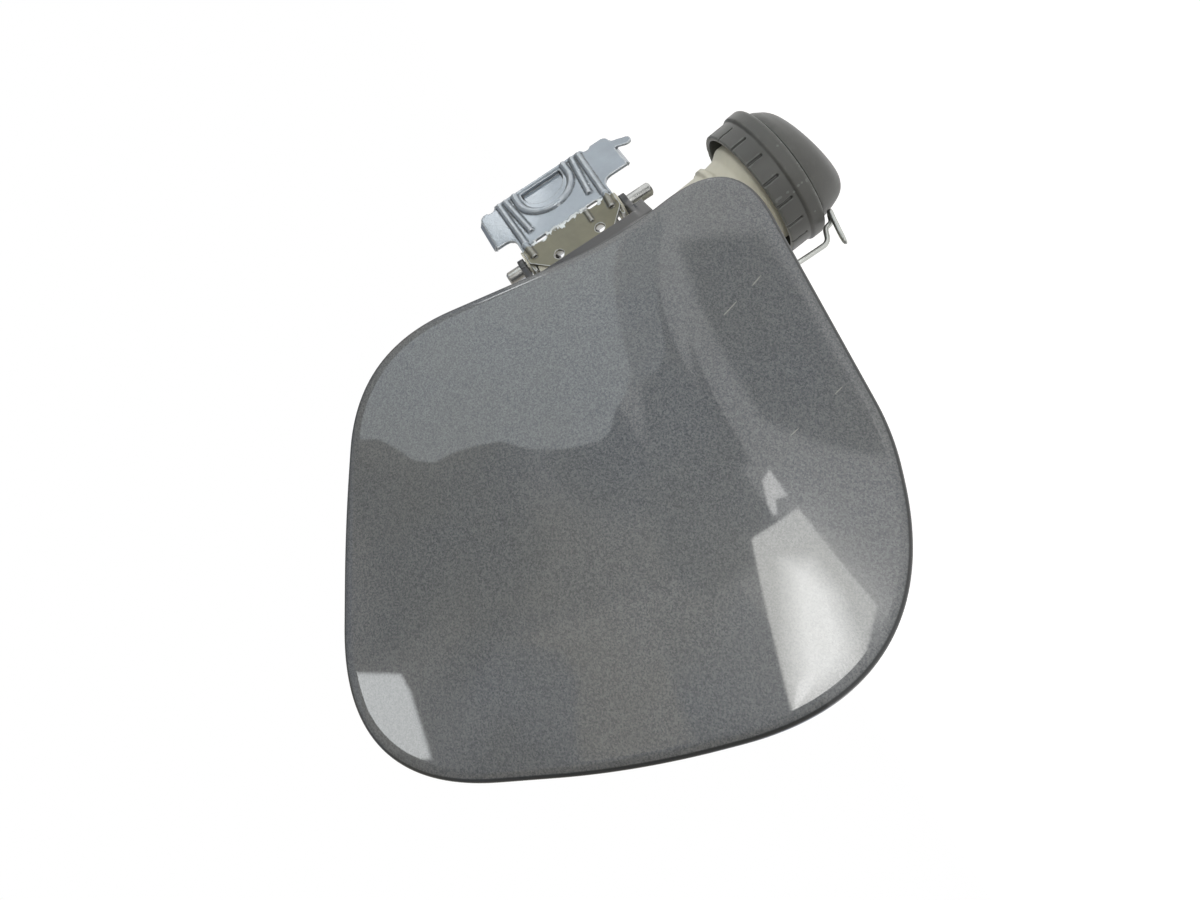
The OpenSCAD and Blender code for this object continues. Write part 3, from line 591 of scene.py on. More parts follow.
def wear_and_shade_effect():
    """Masks: raised edges, rubbing and painted highlight; hollows, dirt and painted shade."""
    wear_and_shade = Effect("Edge wear", {"Scale": 350.0, "Reach": 0.06, "Margin": 0.025, "Spread": 0.12},
                  ["Rubbed and highlight", "Corner dirt and shade"])
    point = wear_and_shade.put("ShaderNodeNewGeometry").outputs["Pointiness"]
    patch = wear_and_shade.minus(wear_and_shade.noise(wear_and_shade.place, wear_and_shade.given["Scale"], 4.0), 0.5)
    raised = wear_and_shade.plus(wear_and_shade.minus(point, 0.5), wear_and_shade.times(patch, wear_and_shade.given["Spread"]))
    for name, value in (("Rubbed and highlight", raised), ("Corner dirt and shade", wear_and_shade.times(raised, -1.0))):
        past = wear_and_shade.minus(value, wear_and_shade.given["Margin"])
        wear_and_shade.give(name, wear_and_shade.maths("DIVIDE", past, wear_and_shade.given["Reach"], clamp=True))
    return wear_and_shade.tree


def scratch_effect():
    """Fine straight scratches along X of the given vector, as a mask."""
    scratch = Effect("Scratches", {"Amount": 0.5}, ["Mask"])
    drawn = scratch.put("ShaderNodeMapping", {"Vector": scratch.place, "Scale": (60.0, 2600.0, 2600.0)})
    line = scratch.step(scratch.noise(drawn.outputs[0], 1.0, 2.0), 0.62, 0.72)
    where = scratch.step(scratch.noise(scratch.place, 120.0, 1.0), 0.45, 0.6)
    scratch.give("Mask", scratch.times(scratch.times(line, where), scratch.given["Amount"]))
    return scratch.tree


def flake_effect():
    """Metal flakes under a clear coat: each flake has its own tone and tilt."""
    flake = Effect("Paint flakes", {"Scale": 1700.0}, ["Tone", "Height"])
    scale = flake.given["Scale"]
    cells = flake.put("ShaderNodeTexVoronoi", {"Vector": flake.place, "Scale": scale})
    split = flake.put("ShaderNodeSeparateColor", {0: cells.outputs["Color"]}).outputs
    soft = flake.noise(flake.place, flake.times(scale, 0.55), 1.0)
    flake.give("Tone", flake.plus(flake.times(split[0], 0.55), flake.times(soft, 0.45)))
    flake.give("Height", split[1])
    return flake.tree


def chip_effect():
    """A short pale scratch round a centre, as a mask."""
    chip = Effect("Chip", {"Centre": (0, 0, 0), "Turn": (0, 0, 0), "Size": (0.002, 0.01, 0.0005)}, ["Mask"])

    def vector_maths(operation, *values):
        return chip.put("ShaderNodeVectorMath", dict(enumerate(values)), operation=operation).outputs

    moved = vector_maths("SUBTRACT", chip.place, chip.given["Centre"])[0]
    turned = chip.put("ShaderNodeVectorRotate", {"Vector": moved, "Rotation": chip.given["Turn"]},
                      rotation_type="EULER_XYZ")
    scaled = vector_maths("DIVIDE", turned.outputs[0], chip.given["Size"])[0]
    ragged = chip.plus(vector_maths("LENGTH", scaled)["Value"],
                       chip.times(chip.noise(chip.place, 900.0, 2.0), 0.9))
    chip.give("Mask", chip.step(ragged, 1.15, 1.45, out_low=1.0, out_high=0.0))
    return chip.tree


EFFECTS = {"grain": grain_effect, "wear_and_shade": wear_and_shade_effect, "scratch": scratch_effect, "flake": flake_effect,
           "chip": chip_effect}
made_effects = {}


# Finishes


def flap_paint(colours, shape, height):
    """Dark grey metallic under clear coat, small chips, and a painted dark reflection on the rolled edge."""
    paint = Finish("Flap paint", Metallic=0.3, Coat_Weight=1.0, Coat_Roughness=0.03, Coat_IOR=1.55)
    flake = paint.use("flake", Scale=2300.0)
    grain = paint.use("grain", Scale=700.0, Cloud_scale=14.0)
    tone = paint.put("ShaderNodeValToRGB", {0: flake["Tone"]})
    for stop, place, share, tint in zip(tone.color_ramp.elements, (0.22, 0.80), (0.58, 1.5),
                                        ((0.95, 0.99, 1.06), (1.04, 1.0, 0.97))):
        stop.position = place
        stop.color = rgba([c * t for c, t in zip(colours.flap_paint, tint)], share)
    clouded = paint.laid_over(tone.outputs["Color"], (0.150, 0.148, 0.132), grain["Tone"], 0.3)

    chips = None
    for start, end, half_width in FLAP_CHIPS:
        ends = [place_on_flap(shape, height, pixel)[0] for pixel in (start, end)]
        along = ends[1] - ends[0]
        mask = paint.use("chip", Centre=(ends[0] + ends[1]) / 2, Turn=(0, math.atan2(along.z, along.x), 0),
                         Size=(along.length / 2, 0.01, half_width))["Mask"]
        chips = mask if chips is None else paint.larger(chips, mask)

    # The rolled edge, where the normal turns from Y, is painted near black with less coat: a painted dark
    # reflection.
    facing = paint.axes(paint.put("ShaderNodeTexCoord").outputs["Normal"])["Y"]
    edge = paint.step(paint.maths("ABSOLUTE", facing), 0.82, 0.965, out_low=0.95, out_high=0.0)
    chipped = paint.blend(chips, clouded, (0.30, 0.30, 0.28, 1.0))
    colour = paint.blend(edge, chipped, (0.012, 0.014, 0.015, 1.0))
    paint.feed("Coat Weight", paint.minus(1.0, paint.larger(chips, paint.times(edge, 0.6))))
    rough = paint.step(paint.plus(chips, paint.times(grain["Tone"], 0.2)), 0.0, 1.2, 0.5, 0.66)
    return paint.done(colour, rough, paint.minus(flake["Height"], paint.times(chips, 2.0)), 0.2, 0.0001)


def inner_paint(colours):
    """Thin satin paint on the inner panel, with dirt and painted shade in its corners."""
    paint = Finish("Inner paint", Metallic=0.35, Coat_Weight=0.25, Coat_Roughness=0.2)
    grain = paint.use("grain", Scale=900.0, Cloud_scale=22.0)
    wear_and_shade = paint.use("wear_and_shade", Scale=300.0, Reach=0.08)
    body = paint.mottled(grain, colours.flap_paint, 0.95, 1.5)
    # Corners darker: dirt and painted shade.
    dirty_and_shaded = paint.laid_over(body, (0.07, 0.062, 0.05), wear_and_shade["Corner dirt and shade"], 0.6)
    return paint.done(dirty_and_shaded, paint.uneven(grain, 0.42, 0.58), grain["Height"], 0.15, 0.00012)


def bracket_paint(colours):
    """Olive primer below, blue grey overspray above, and a ragged run of sealer where they meet."""
    paint = Finish("Bracket paint", Metallic=0.55, Coat_Weight=0.7, Coat_Roughness=0.1)
    grain = paint.use("grain", Scale=800.0, Cloud_scale=60.0)
    wear_and_shade = paint.use("wear_and_shade", Scale=400.0, Reach=0.025, Margin=0.006, Spread=0.03)
    axes = paint.axes(paint.place)
    ragged = paint.minus(paint.noise(paint.place, 230.0, 5.0, Roughness=0.65), 0.5)
    height = paint.plus(axes["X"], paint.times(ragged, 0.009))
    above = paint.step(height, SPRAY_EDGE - 0.2 * MM, SPRAY_EDGE + 0.3 * MM)
    below_top = paint.step(height, SPRAY_EDGE + 1.1 * MM, SPRAY_EDGE + 1.9 * MM, 1.0, 0.0)
    between_sides = paint.step(paint.maths("ABSOLUTE", axes["Z"]), 16.5 * MM, 18.5 * MM, 1.0, 0.0)
    run = paint.times(paint.times(above, below_top), between_sides)
    body = paint.blend(above, paint.mottled(grain, colours.bracket_primer, 0.8, 1.15),
                       paint.mottled(grain, colours.bracket_paint, 0.88, 1.1))
    sealed = paint.laid_over(body, (0.74, 0.76, 0.76), run, 0.85)
    # Raised edges and ribs painted paler: partly rubbing through the paint, partly painted highlight.
    rubbed_and_highlit = paint.laid_over(sealed, (0.66, 0.68, 0.70), wear_and_shade["Rubbed and highlight"], 0.6)
    # Hollows painted near black: dirt and painted shade.
    dirty_and_shaded = paint.laid_over(rubbed_and_highlit, (0.045, 0.048, 0.05), wear_and_shade["Corner dirt and shade"], 0.9)
    relief = paint.plus(grain["Height"], paint.times(run, 4.0))
    return paint.done(dirty_and_shaded, paint.uneven(grain, 0.28, 0.42), relief, 0.35, 0.0003)


def black_paint():
    """Black dip paint on pressed steel."""
    paint = Finish("Black dip paint", Metallic=0.0, Coat_Weight=0.5, Coat_Roughness=0.15)
    grain = paint.use("grain", Scale=700.0, Cloud_scale=45.0)
    wear_and_shade = paint.use("wear_and_shade", Scale=420.0, Reach=0.07)
    body = paint.blend(grain["Tone"], (0.012, 0.012, 0.013, 1.0), (0.026, 0.026, 0.028, 1.0))
    rubbed_and_highlit = paint.laid_over(body, (0.16, 0.16, 0.165), wear_and_shade["Rubbed and highlight"], 0.5)
    return paint.done(rubbed_and_highlit, paint.uneven(grain, 0.25, 0.42), grain["Height"], 0.2, 0.00015)


def nylon(colours):
    """Natural nylon that has yellowed a little, with dirt and painted shade in its corners."""
    plastic = Finish("Natural nylon", Metallic=0.0, Specular_IOR_Level=0.45)
    grain = plastic.use("grain", Scale=1200.0, Cloud_scale=50.0)
    wear_and_shade = plastic.use("wear_and_shade", Scale=260.0, Reach=0.08)
    body = plastic.mottled(grain, colours.nylon, 0.86, 1.05)
    # Corners darker: dirt and painted shade.
    dirty_and_shaded = plastic.laid_over(body, (0.24, 0.21, 0.15), wear_and_shade["Corner dirt and shade"], 0.6)
    return plastic.done(dirty_and_shaded, plastic.uneven(grain, 0.38, 0.52), grain["Height"], 0.12, 0.0001)


def cap_plastic(colours, name="Cap plastic", share=1.0):
    """Weathered black plastic with a fine moulded grain, paler edges as rubbing and painted highlight."""
    plastic = Finish(name, Metallic=0.0, Specular_IOR_Level=0.5)
    grain = plastic.use("grain", Scale=2600.0, Cloud_scale=32.0)
    wear_and_shade = plastic.use("wear_and_shade", Scale=300.0, Reach=0.03, Margin=0.008, Spread=0.03)
    scratch = plastic.use("scratch", Amount=0.15)
    body = plastic.mottled(grain, colours.cap_plastic, 0.75 * share, 1.15 * share)
    # Edges and scratches painted paler: rubbing, scratches and painted highlight.
    worn_and_highlit = plastic.larger(wear_and_shade["Rubbed and highlight"], scratch["Mask"])
    rubbed_and_highlit = plastic.laid_over(body, (0.24, 0.25, 0.24), worn_and_highlit, 0.55)
    # Hollows darker: dirt and painted shade.
    dirty_and_shaded = plastic.laid_over(rubbed_and_highlit, (0.018, 0.017, 0.015), wear_and_shade["Corner dirt and shade"], 0.7)
    return plastic.done(dirty_and_shaded, plastic.uneven(grain, 0.36, 0.48), grain["Height"], 0.28, 0.00012)


def metal(name, colour, rough, scratched):
    """Plated or ground metal with drawn scratches."""
    steel = Finish(name, Metallic=1.0)
    grain = steel.use("grain", Scale=900.0, Cloud_scale=90.0)
    wear_and_shade = steel.use("wear_and_shade", Scale=500.0, Reach=0.08)
    scratch = steel.use("scratch", Amount=scratched)
    marked = steel.laid_over(steel.mottled(grain, colour, 0.82, 1.08), [c * 1.35 for c in colour],
                             scratch["Mask"], 0.5)
    # Hollows darker: dirt and painted shade.
    dirty_and_shaded = steel.laid_over(marked, (0.09, 0.075, 0.055), wear_and_shade["Corner dirt and shade"], 0.7)
    return steel.done(dirty_and_shaded, steel.uneven(grain, rough * 0.85, rough * 1.2),
                      steel.minus(grain["Height"], scratch["Mask"]), 0.15, 0.00008)


def rubber():
    """Soft black rubber with a dull bloom."""
    soft = Finish("Black rubber", Metallic=0.0, Specular_IOR_Level=0.35)
    grain = soft.use("grain", Scale=1400.0, Cloud_scale=70.0)
    body = soft.blend(grain["Tone"], (0.016, 0.016, 0.016, 1.0), (0.035, 0.034, 0.033, 1.0))
    return soft.done(body, soft.uneven(grain, 0.6, 0.78), grain["Height"], 0.3, 0.00012)


# Places that come from the photograph, in its 1200 by 900 frame

IMAGE_CENTRE = (600.0, 450.0)
FOCAL_PIXELS = 900.0
CAMERA_PLACE = Vector((-0.2061, -0.3111, 0.0196))
CAMERA_RIGHT = Vector((-0.4836, 0.2408, -0.8415))
CAMERA_UP = Vector((0.7928, -0.2870, -0.5377))
CAMERA_FORWARD = Vector((0.3710, 0.9272, 0.0521))

# Where light and dark things of the room show in the flap's paint
WINDOW_PATCH = [(750, 538), (778, 520), (808, 499), (830, 521), (862, 532), (880, 600), (868, 652),
                (850, 683), (822, 702), (791, 713), (775, 650)]
WINDOW_CORE_PATCH = [(772, 552), (815, 552), (848, 590), (866, 640), (868, 668), (850, 690), (820, 710),
                     (792, 716), (782, 680)]
WINDOW_TOP_PATCH = [(771, 464), (761, 480), (766, 502), (772, 517), (779, 514), (777, 500), (786, 497),
                    (800, 501), (796, 485), (782, 465)]
SIDE_PATCH = [(346, 671), (402, 672), (412, 690), (425, 730), (434, 760), (400, 765), (346, 735)]
CEILING_PATCH = [(340, 436), (378, 440), (400, 452), (412, 461), (435, 464), (450, 455), (475, 447),
                 (500, 442), (530, 450), (565, 450), (600, 442), (611, 432), (616, 410), (628, 392),
                 (632, 370), (634, 220), (560, 240), (470, 285), (375, 370), (340, 405)]
CEILING_END_PATCH = [(630, 392), (645, 378), (660, 370), (667, 350), (668, 220), (634, 225), (631, 370)]
OPENING_PATCH = [(672, 236), (700, 241), (745, 235), (753, 215), (758, 190), (700, 190), (660, 215)]
WALL_PATCH = [(905, 440), (893, 470), (884, 512), (896, 490), (910, 500), (925, 470), (920, 440)]
WARM_PATCH = [(502, 642), (560, 620), (620, 596), (668, 590), (661, 640), (680, 690), (700, 745),
              (650, 757), (577, 770), (572, 720), (573, 680), (560, 655)]
SHADE_PATCH = [(664, 242), (700, 236), (768, 226), (806, 290), (850, 368), (884, 436), (884, 520),
               (790, 560), (706, 604), (655, 565), (640, 480)]
SHADE_SIDE_PATCH = [(672, 240), (768, 226), (806, 290), (850, 368), (893, 440), (893, 465), (830, 452),
                    (760, 425), (705, 330)]
DARK_TOP_PATCH = [(676, 262), (700, 246), (745, 240), (776, 250), (784, 276), (760, 300), (712, 302)]
DARK_PATCH = [(686, 300), (735, 296), (762, 350), (778, 410), (770, 456), (735, 480), (700, 440)]
DARK_LOW_PATCH = [(690, 430), (740, 470), (752, 510), (742, 575), (706, 604), (668, 575), (662, 500)]

# Where the key card shows in the bracket's upper plate
KEY_PATCH = [(462, 205), (492, 256), (536, 244), (560, 205), (540, 160), (496, 165)]

# Chips in the paint: both ends in the photograph, and half the width
FLAP_CHIPS = [((723, 316), (737, 301), 0.0003), ((751, 287), (762, 274), 0.0003),
              ((789, 437), (800, 427), 0.00025), ((834, 395), (843, 386), 0.00025)]

# Height over the mounting holes where the bracket's overspray starts
SPRAY_EDGE = 0.0103


def pixel_ray(pixel):
    """The direction in which the camera sees a pixel of the photograph."""
    across = (pixel[0] - IMAGE_CENTRE[0]) / FOCAL_PIXELS
    down = (pixel[1] - IMAGE_CENTRE[1]) / FOCAL_PIXELS
    return (CAMERA_FORWARD + across * CAMERA_RIGHT - down * CAMERA_UP).normalized()


def place_on_flap(shape, height, pixel):
    """The point of the painted dome that a pixel shows, the normal there, and the camera's ray."""
    ray = pixel_ray(pixel)
    centre = Vector(shape.centre)

    def depth(x, z):
        return centre.y - shape.roll - shape.crown * height([[x - centre.x, z - centre.z]])[0]

    plane = centre.y - shape.roll
    for _ in range(4):
        hit = CAMERA_PLACE + ray * ((plane - CAMERA_PLACE.y) / ray.y)
        plane = depth(hit.x, hit.z)
    small = 0.5 * MM
    slope_x = (depth(hit.x + small, hit.z) - depth(hit.x - small, hit.z)) / (2 * small)
    slope_z = (depth(hit.x, hit.z + small) - depth(hit.x, hit.z - small)) / (2 * small)
    return hit, Vector((slope_x, -1.0, slope_z)).normalized(), ray


def beyond_mirror(hit, normal, ray, distance):
    """The point at some distance from which light reaches the camera by way of a mirror."""
    return hit + distance * (ray - 2 * ray.dot(normal) * normal).normalized()


def seen_in_plate(node, normal, pixel, distance):
    """The point at some distance that a flat plate of a node shows at a pixel."""
    ray = pixel_ray(pixel)
    low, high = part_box(node)
    middle = (Vector(low) + Vector(high)) / 2
    hit = CAMERA_PLACE + ray * ((middle - CAMERA_PLACE).dot(normal) / ray.dot(normal))
    return beyond_mirror(hit, normal, ray, distance)


# Operators, one for each piece or group of like pieces


class FUELDOOR_OT_flap_skin(Operator):
    """Model the domed outer skin with its rolled edge, flange and hem"""

    bl_idname = "fuel_door.flap_skin"
    bl_label = "Flap Skin"

    def execute(self, context):
        shape = context.scene.fuel_door_flap
        roll, flange, hem = shape.roll, shape.flange, shape.hem
        edge = outline(shape)
        height = dome(edge)
        start = math.radians(10)
        rim = inset(edge, roll * (1 - math.sin(start)))
        rings = []
        for share in [0.03, 0.07] + list(np.linspace(0.12, 0.9, 22)) + [0.93, 0.955, 0.975, 0.99]:
            ring = rim * share
            rings.append(lifted(shape, ring, -roll * math.cos(start) - shape.crown * height(ring)))
        for angle in np.linspace(start, math.pi / 2, 8):
            ring = inset(edge, roll * (1 - math.sin(angle)))
            rings.append(lifted(shape, ring, -roll * math.cos(angle)))
        corner, eased_corner = 0.5 * MM, 0.15 * MM
        for inward, depth in ((0, flange / 2), (0, flange - corner), (eased_corner, flange - eased_corner),
                              (corner, flange), (hem / 2, flange), (hem, flange)):
            rings.append(lifted(shape, inset(edge, inward), depth))
        piece = loft("flap_skin_painted", rings[::-1])
        face_outwards(piece)
        if min(piece.data.polygons, key=lambda f: f.center.y).normal.y > 0:
            piece.data.flip_normals()
        apply_modifier(piece, "SOLIDIFY", thickness=shape.sheet, offset=-1.0, use_even_offset=True)
        smooth_shade(piece, degrees=50)
        paint = flap_paint(context.scene.fuel_door_finishes, shape, height)
        hand_over(piece, "flap_skin", paint)
        return {"FINISHED"}


class FUELDOOR_OT_inner_panel(Operator):
    """Finish the pressed inner panel behind the skin"""

    bl_idname = "fuel_door.inner_panel"
    bl_label = "Inner Panel"

    def execute(self, context):
        piece = copy_of("inner_panel", "painted")
        smooth_shade(piece, degrees=34)
        hand_over(piece, "inner_panel", inner_paint(context.scene.fuel_door_finishes))
        return {"FINISHED"}


class FUELDOOR_OT_hinge_bracket(Operator):
    """Press the upper plate of the hinge bracket, join it to the lower one and paint both"""

    bl_idname = "fuel_door.hinge_bracket"
    bl_label = "Hinge Bracket"

    def plate_outline(self, shape):
        """The upper plate with its ears, necks, scallops and rounded corners."""
        half, start, end = shape.half_width, shape.ear_start, shape.length
        neck, corner, scallop = 4 * MM, 2.5 * MM, 2.2 * MM
        points = [(-1.0 * MM, -half)] + arc(start - neck, -half - neck, neck, 90, 0)
        points += [(start, -shape.ear_low)] + arc(end - corner, corner - shape.ear_low, corner, -90, 0)
        for side in (-1, 1):
            points += arc(end + scallop / 2, side * (half + scallop), scallop, 240, 120)
        points += arc(end - corner, shape.ear_high - corner, corner, 0, 90) + [(start, shape.ear_high)]
        return points + arc(start - neck, half + neck, neck, 0, -90) + [(-1.0 * MM, half)]

    def execute(self, context):
        shape = context.scene.fuel_door_bracket
        sheet, end, half = shape.sheet, shape.length, shape.half_width
        place = Matrix.Translation((shape.bend, 0, 0)) @ Matrix.Rotation(shape.tilt, 4, "Z")
        centre = end - 3.8 * MM
        ring = shape.field + 2.6 * MM
        beyond = 60 * MM

        def block(low):
            return [(low, -beyond), (beyond, -beyond), (beyond, beyond), (low, beyond)]

        def field(radius, top):
            reach = math.degrees(math.acos((top - centre) / radius)) if top - centre < radius else 0
            return arc(centre, 0, radius, reach, 360 - reach, 48)

        # The node's own upper plate comes off, and the pressed one takes its place
        lower = copy_of("hinge_bracket", "pressed")
        old_plate = slab("old_plate", block(0.02 * MM), -8 * MM, sheet + 0.02 * MM, place)
        combine(lower, old_plate, "DIFFERENCE")
        combine(lower, slab("old_field", block(5 * MM), -8 * MM, 8 * MM, place), "DIFFERENCE")
        upper = slab("upper_plate", self.plate_outline(shape), 0, sheet, place)
        back = slab("field_back", field(shape.field + sheet, end), sheet / 2, sheet / 2 + shape.depth, place)
        combine(upper, back, "UNION")
        front = slab("field_tool", field(shape.field, end - sheet), -1 * MM, shape.depth, place)
        combine(upper, front, "DIFFERENCE")

        # Ribs stand on the front, each with a groove behind it that runs out past the upper edge
        pieces = [lower, upper]
        behind = Vector((0, sheet + 0.1 * MM, 0))
        for x, near, far in ((-0.5, 19, 20), (4, 14.2, 16.8)):
            for side in (-1, 1):
                ends = in_plane([(x * MM, side * near * MM), (end, side * far * MM)])
                pieces.append(bar("rib", ends, shape.rib, place))
                groove = [e + behind for e in (ends[0], 1.08 * ends[1] - 0.08 * ends[0])]
                combine(upper, bar("groove", groove, shape.rib / 2, place), "DIFFERENCE")

        # The bead round the field, the rolled upper edge and the short rib of the lower plate
        loop = in_plane([(end, -ring)] + arc(end - 6.5 * MM, 0, ring, 270, 90, 40) + [(end, ring)])
        pieces.append(bar("bead", loop, shape.bead, place))
        rolled = [Vector((end, sheet / 2, side * half)) for side in (-1, 1)]
        pieces.append(bar("rolled_edge", rolled, sheet / 2 + 0.5 * MM, place))
        short = in_plane([(4.5 * MM, -8.75 * MM), (10.5 * MM, -8.75 * MM)])
        pieces.append(bar("short_rib", short, 0.7 * shape.rib, Matrix()))

        # The folded lips of the ears and the bare tab
        first, last = shape.ear_start + 1.5 * MM, end - 2.5 * MM
        for edge, turn in ((shape.ear_high, -1), (-shape.ear_low, 1)):
            lip = [(first, 0), (last, 0), (last, -turn * 3 * MM), (first, -turn * 3 * MM)]
            fold = Matrix.Translation((0, 0, edge)) @ Matrix.Rotation(math.radians(turn * 55), 4, "X")
            pieces.append(slab("ear_lip", lip, 0, sheet, place @ fold))
        tab = arc(0, -7.5 * MM, 2.2 * MM, 0, -180) + [(-2.2 * MM, 0), (2.2 * MM, 0)]
        turn = Matrix.Rotation(math.radians(25), 4, "Y")
        turn = Matrix.Translation((end - 6 * MM, 0, 1 * MM - shape.ear_low)) @ turn
        pieces.append(slab("ear_tab", tab, 0, 0.75 * sheet, place @ turn))

        piece = pressed(join(pieces), voxel=0.3 * MM, rounds=3)
        paint = bracket_paint(context.scene.fuel_door_finishes)
        hand_over(piece, "hinge_bracket", paint)
        return {"FINISHED"}


class FUELDOOR_OT_hinge_parts(Operator):
    """Finish the leaf, pin, bushes, block and spring of the hinge"""

    bl_idname = "fuel_door.hinge_parts"
    bl_label = "Hinge Parts"

    def execute(self, context):
        # A web and a gusset join the arms of the leaf. Their outlines are in mm, across the pin
        web = [(-13.5, -8.0), (-12.6, -8.6), (-5.6, -5.3), (-5.6, -3.9), (-13.5, -6.6)]
        gusset = [(-4.0, 4.6), (0.2, -1.0), (-11.3, -8.1), (-13.0, -8.6), (-15.6, -2.3)]
        web, gusset = ([(x * MM, y * MM) for x, y in points] for points in (web, gusset))
        lay = Matrix.Rotation(math.radians(-90), 4, "X")
        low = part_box("hinge_leaf")[0][2]
        leaf = join([copy_of("hinge_leaf", "pressed"), slab("leaf_web", web, -24 * MM, 24 * MM, lay),
                     slab("leaf_gusset", gusset, -low - 0.3 * MM, 3.5 * MM - low, lay)])
        hand_over(pressed(leaf, voxel=0.45 * MM, rounds=4), "hinge_leaf", black_paint())
        plain = nylon(context.scene.fuel_door_finishes)
        block = pressed(copy_of("hinge_block", "moulded"), voxel=0.3 * MM, rounds=4)
        hand_over(block, "hinge_block", plain)
        bushes = eased(copy_of("hinge_bushes", "moulded"), width=0.2 * MM)
        hand_over(bushes, "hinge_bushes", plain)
        pin = eased(copy_of("hinge_pin", "ground"), width=0.15 * MM, degrees=25)
        ground = metal("Ground pin steel", (0.50, 0.50, 0.49), rough=0.28, scratched=0.8)
        hand_over(pin, "hinge_pin", ground)
        steel = metal("Spring steel", (0.20, 0.20, 0.205), rough=0.38, scratched=0.3)
        hand_over(rounded(copy_of("hinge_spring", "wound")), "hinge_spring", steel)
        return {"FINISHED"}


class FUELDOOR_OT_latch_parts(Operator):
    """Finish the striker loop and the bump stops"""

    bl_idname = "fuel_door.latch_parts"
    bl_label = "Latch Parts"

    def execute(self, context):
        plating = context.scene.fuel_door_finishes.plating
        loop = pressed(copy_of("striker_loop", "bent"), voxel=0.28 * MM, rounds=4)
        plated = metal("Plated striker", plating, rough=0.32, scratched=0.5)
        hand_over(loop, "striker_loop", plated)
        stops = pressed(copy_of("bump_stops", "moulded"), voxel=0.35 * MM, rounds=4)
        hand_over(stops, "bump_stops", rubber())
        return {"FINISHED"}


class FUELDOOR_OT_cap_holder(Operator):
    """Finish the nylon holder, its rivets and the post of the catch"""

    bl_idname = "fuel_door.cap_holder"
    bl_label = "Cap Holder"

    def execute(self, context):
        colours = context.scene.fuel_door_finishes
        holder = pressed(copy_of("cap_holder", "moulded"), voxel=0.5 * MM, rounds=4)
        hand_over(holder, "cap_holder", nylon(colours))
        plated = metal("Plated fixings", colours.plating, rough=0.36, scratched=0.4)
        for node in ("holder_rivets", "catch_post"):
            hand_over(eased(copy_of(node, "set"), width=0.15 * MM, degrees=30), node, plated)
        return {"FINISHED"}


class FUELDOOR_OT_catch_wire(Operator):
    """Round the spring wire that keeps the cap"""

    bl_idname = "fuel_door.catch_wire"
    bl_label = "Catch Wire"

    def execute(self, context):
        plated = metal("Plated wire", context.scene.fuel_door_finishes.plating, rough=0.34, scratched=0.4)
        hand_over(rounded(copy_of("catch_wire", "bent")), "catch_wire", plated)
        return {"FINISHED"}


class FUELDOOR_OT_cap_skirt(Operator):
    """Ease the moulded skirt of the cap"""

    bl_idname = "fuel_door.cap_skirt"
    bl_label = "Cap Skirt"

    def execute(self, context):
        piece = pressed(copy_of("cap_skirt", "moulded"), voxel=0.3 * MM, rounds=3)
        hand_over(piece, "cap_skirt", cap_plastic(context.scene.fuel_door_finishes))
        return {"FINISHED"}


class FUELDOOR_OT_cap_grip(Operator):
    """Model the sloping grip of the cap as one smooth moulding"""

    bl_idname = "fuel_door.cap_grip"
    bl_label = "Cap Grip"

    def execute(self, context):
        cap = context.scene.fuel_door_cap
        turn = Matrix.Translation(cap.rim)
        for angle, axis in ((cap.lean[2], "Z"), (cap.lean[1], "Y"), (cap.lean[0], "X"), (math.pi, "X"),
                            (cap.grip_turn, "Z")):
            turn = turn @ Matrix.Rotation(angle, 4, axis)
        radius, lip, plug = cap.grip_radius, cap.lip_height, cap.plug_radius

        def ring(along, across, height, shift=0.0, tilt=0.0):
            points = []
            for i in range(64):
                angle = 2 * math.pi * i / 64
                u = along * math.cos(angle) + shift
                points.append(turn @ Vector((u, across * math.sin(angle), height - tilt * u)))
            return points

        # The plug and the flat foot of the grip, whose rings are level and round
        rings = [ring(size, size, height) for size, height in (
            (plug * 0.5, cap.plug_depth), (plug, cap.plug_depth), (plug, lip + 0.1 * MM),
            (plug + 1.8 * MM, lip + 0.1 * MM), (radius - 1.6 * MM, lip + 0.2 * MM))]
        # The grip: how far each ring draws in along and across the slope, its shift and its rise, all in mm,
        # and its share of the slope
        for along, across, shift, rise, share in (
                (1.5, 1.5, 0.0, 0.85, 0.0), (0.25, 0.25, 0.0, 0.95, 0.0), (0.0, 0.0, 0.0, 1.45, 0.0),
                (0.2, 0.4, 0.0, 3.5, 0.0), (1.2, 2.2, 0.1, 6.5, 0.4), (2.8, 5.2, 0.3, 10.2, 0.7),
                (4.9, 9.2, 0.5, 12.4, 0.8), (6.8, 12.0, 0.9, 13.6, 0.92), (9.0, 14.6, 1.2, 14.3, 1.0),
                (15.0, 19.5, 1.0, 14.9, 1.0), (21.0, 23.2, 0.5, 15.05, 1.0)):
            rings.append(ring(radius - along * MM, radius - across * MM, lip + rise * MM, shift * MM,
                              cap.grip_slope * share))
        piece = loft("cap_grip_moulded", rings, close_first=True)
        face_outwards(piece)
        apply_modifier(piece, "SUBSURF", levels=2, render_levels=2)
        smooth_shade(piece, degrees=60)
        plastic = cap_plastic(context.scene.fuel_door_finishes, "Grip plastic")
        hand_over(piece, "cap_grip", plastic)
        return {"FINISHED"}


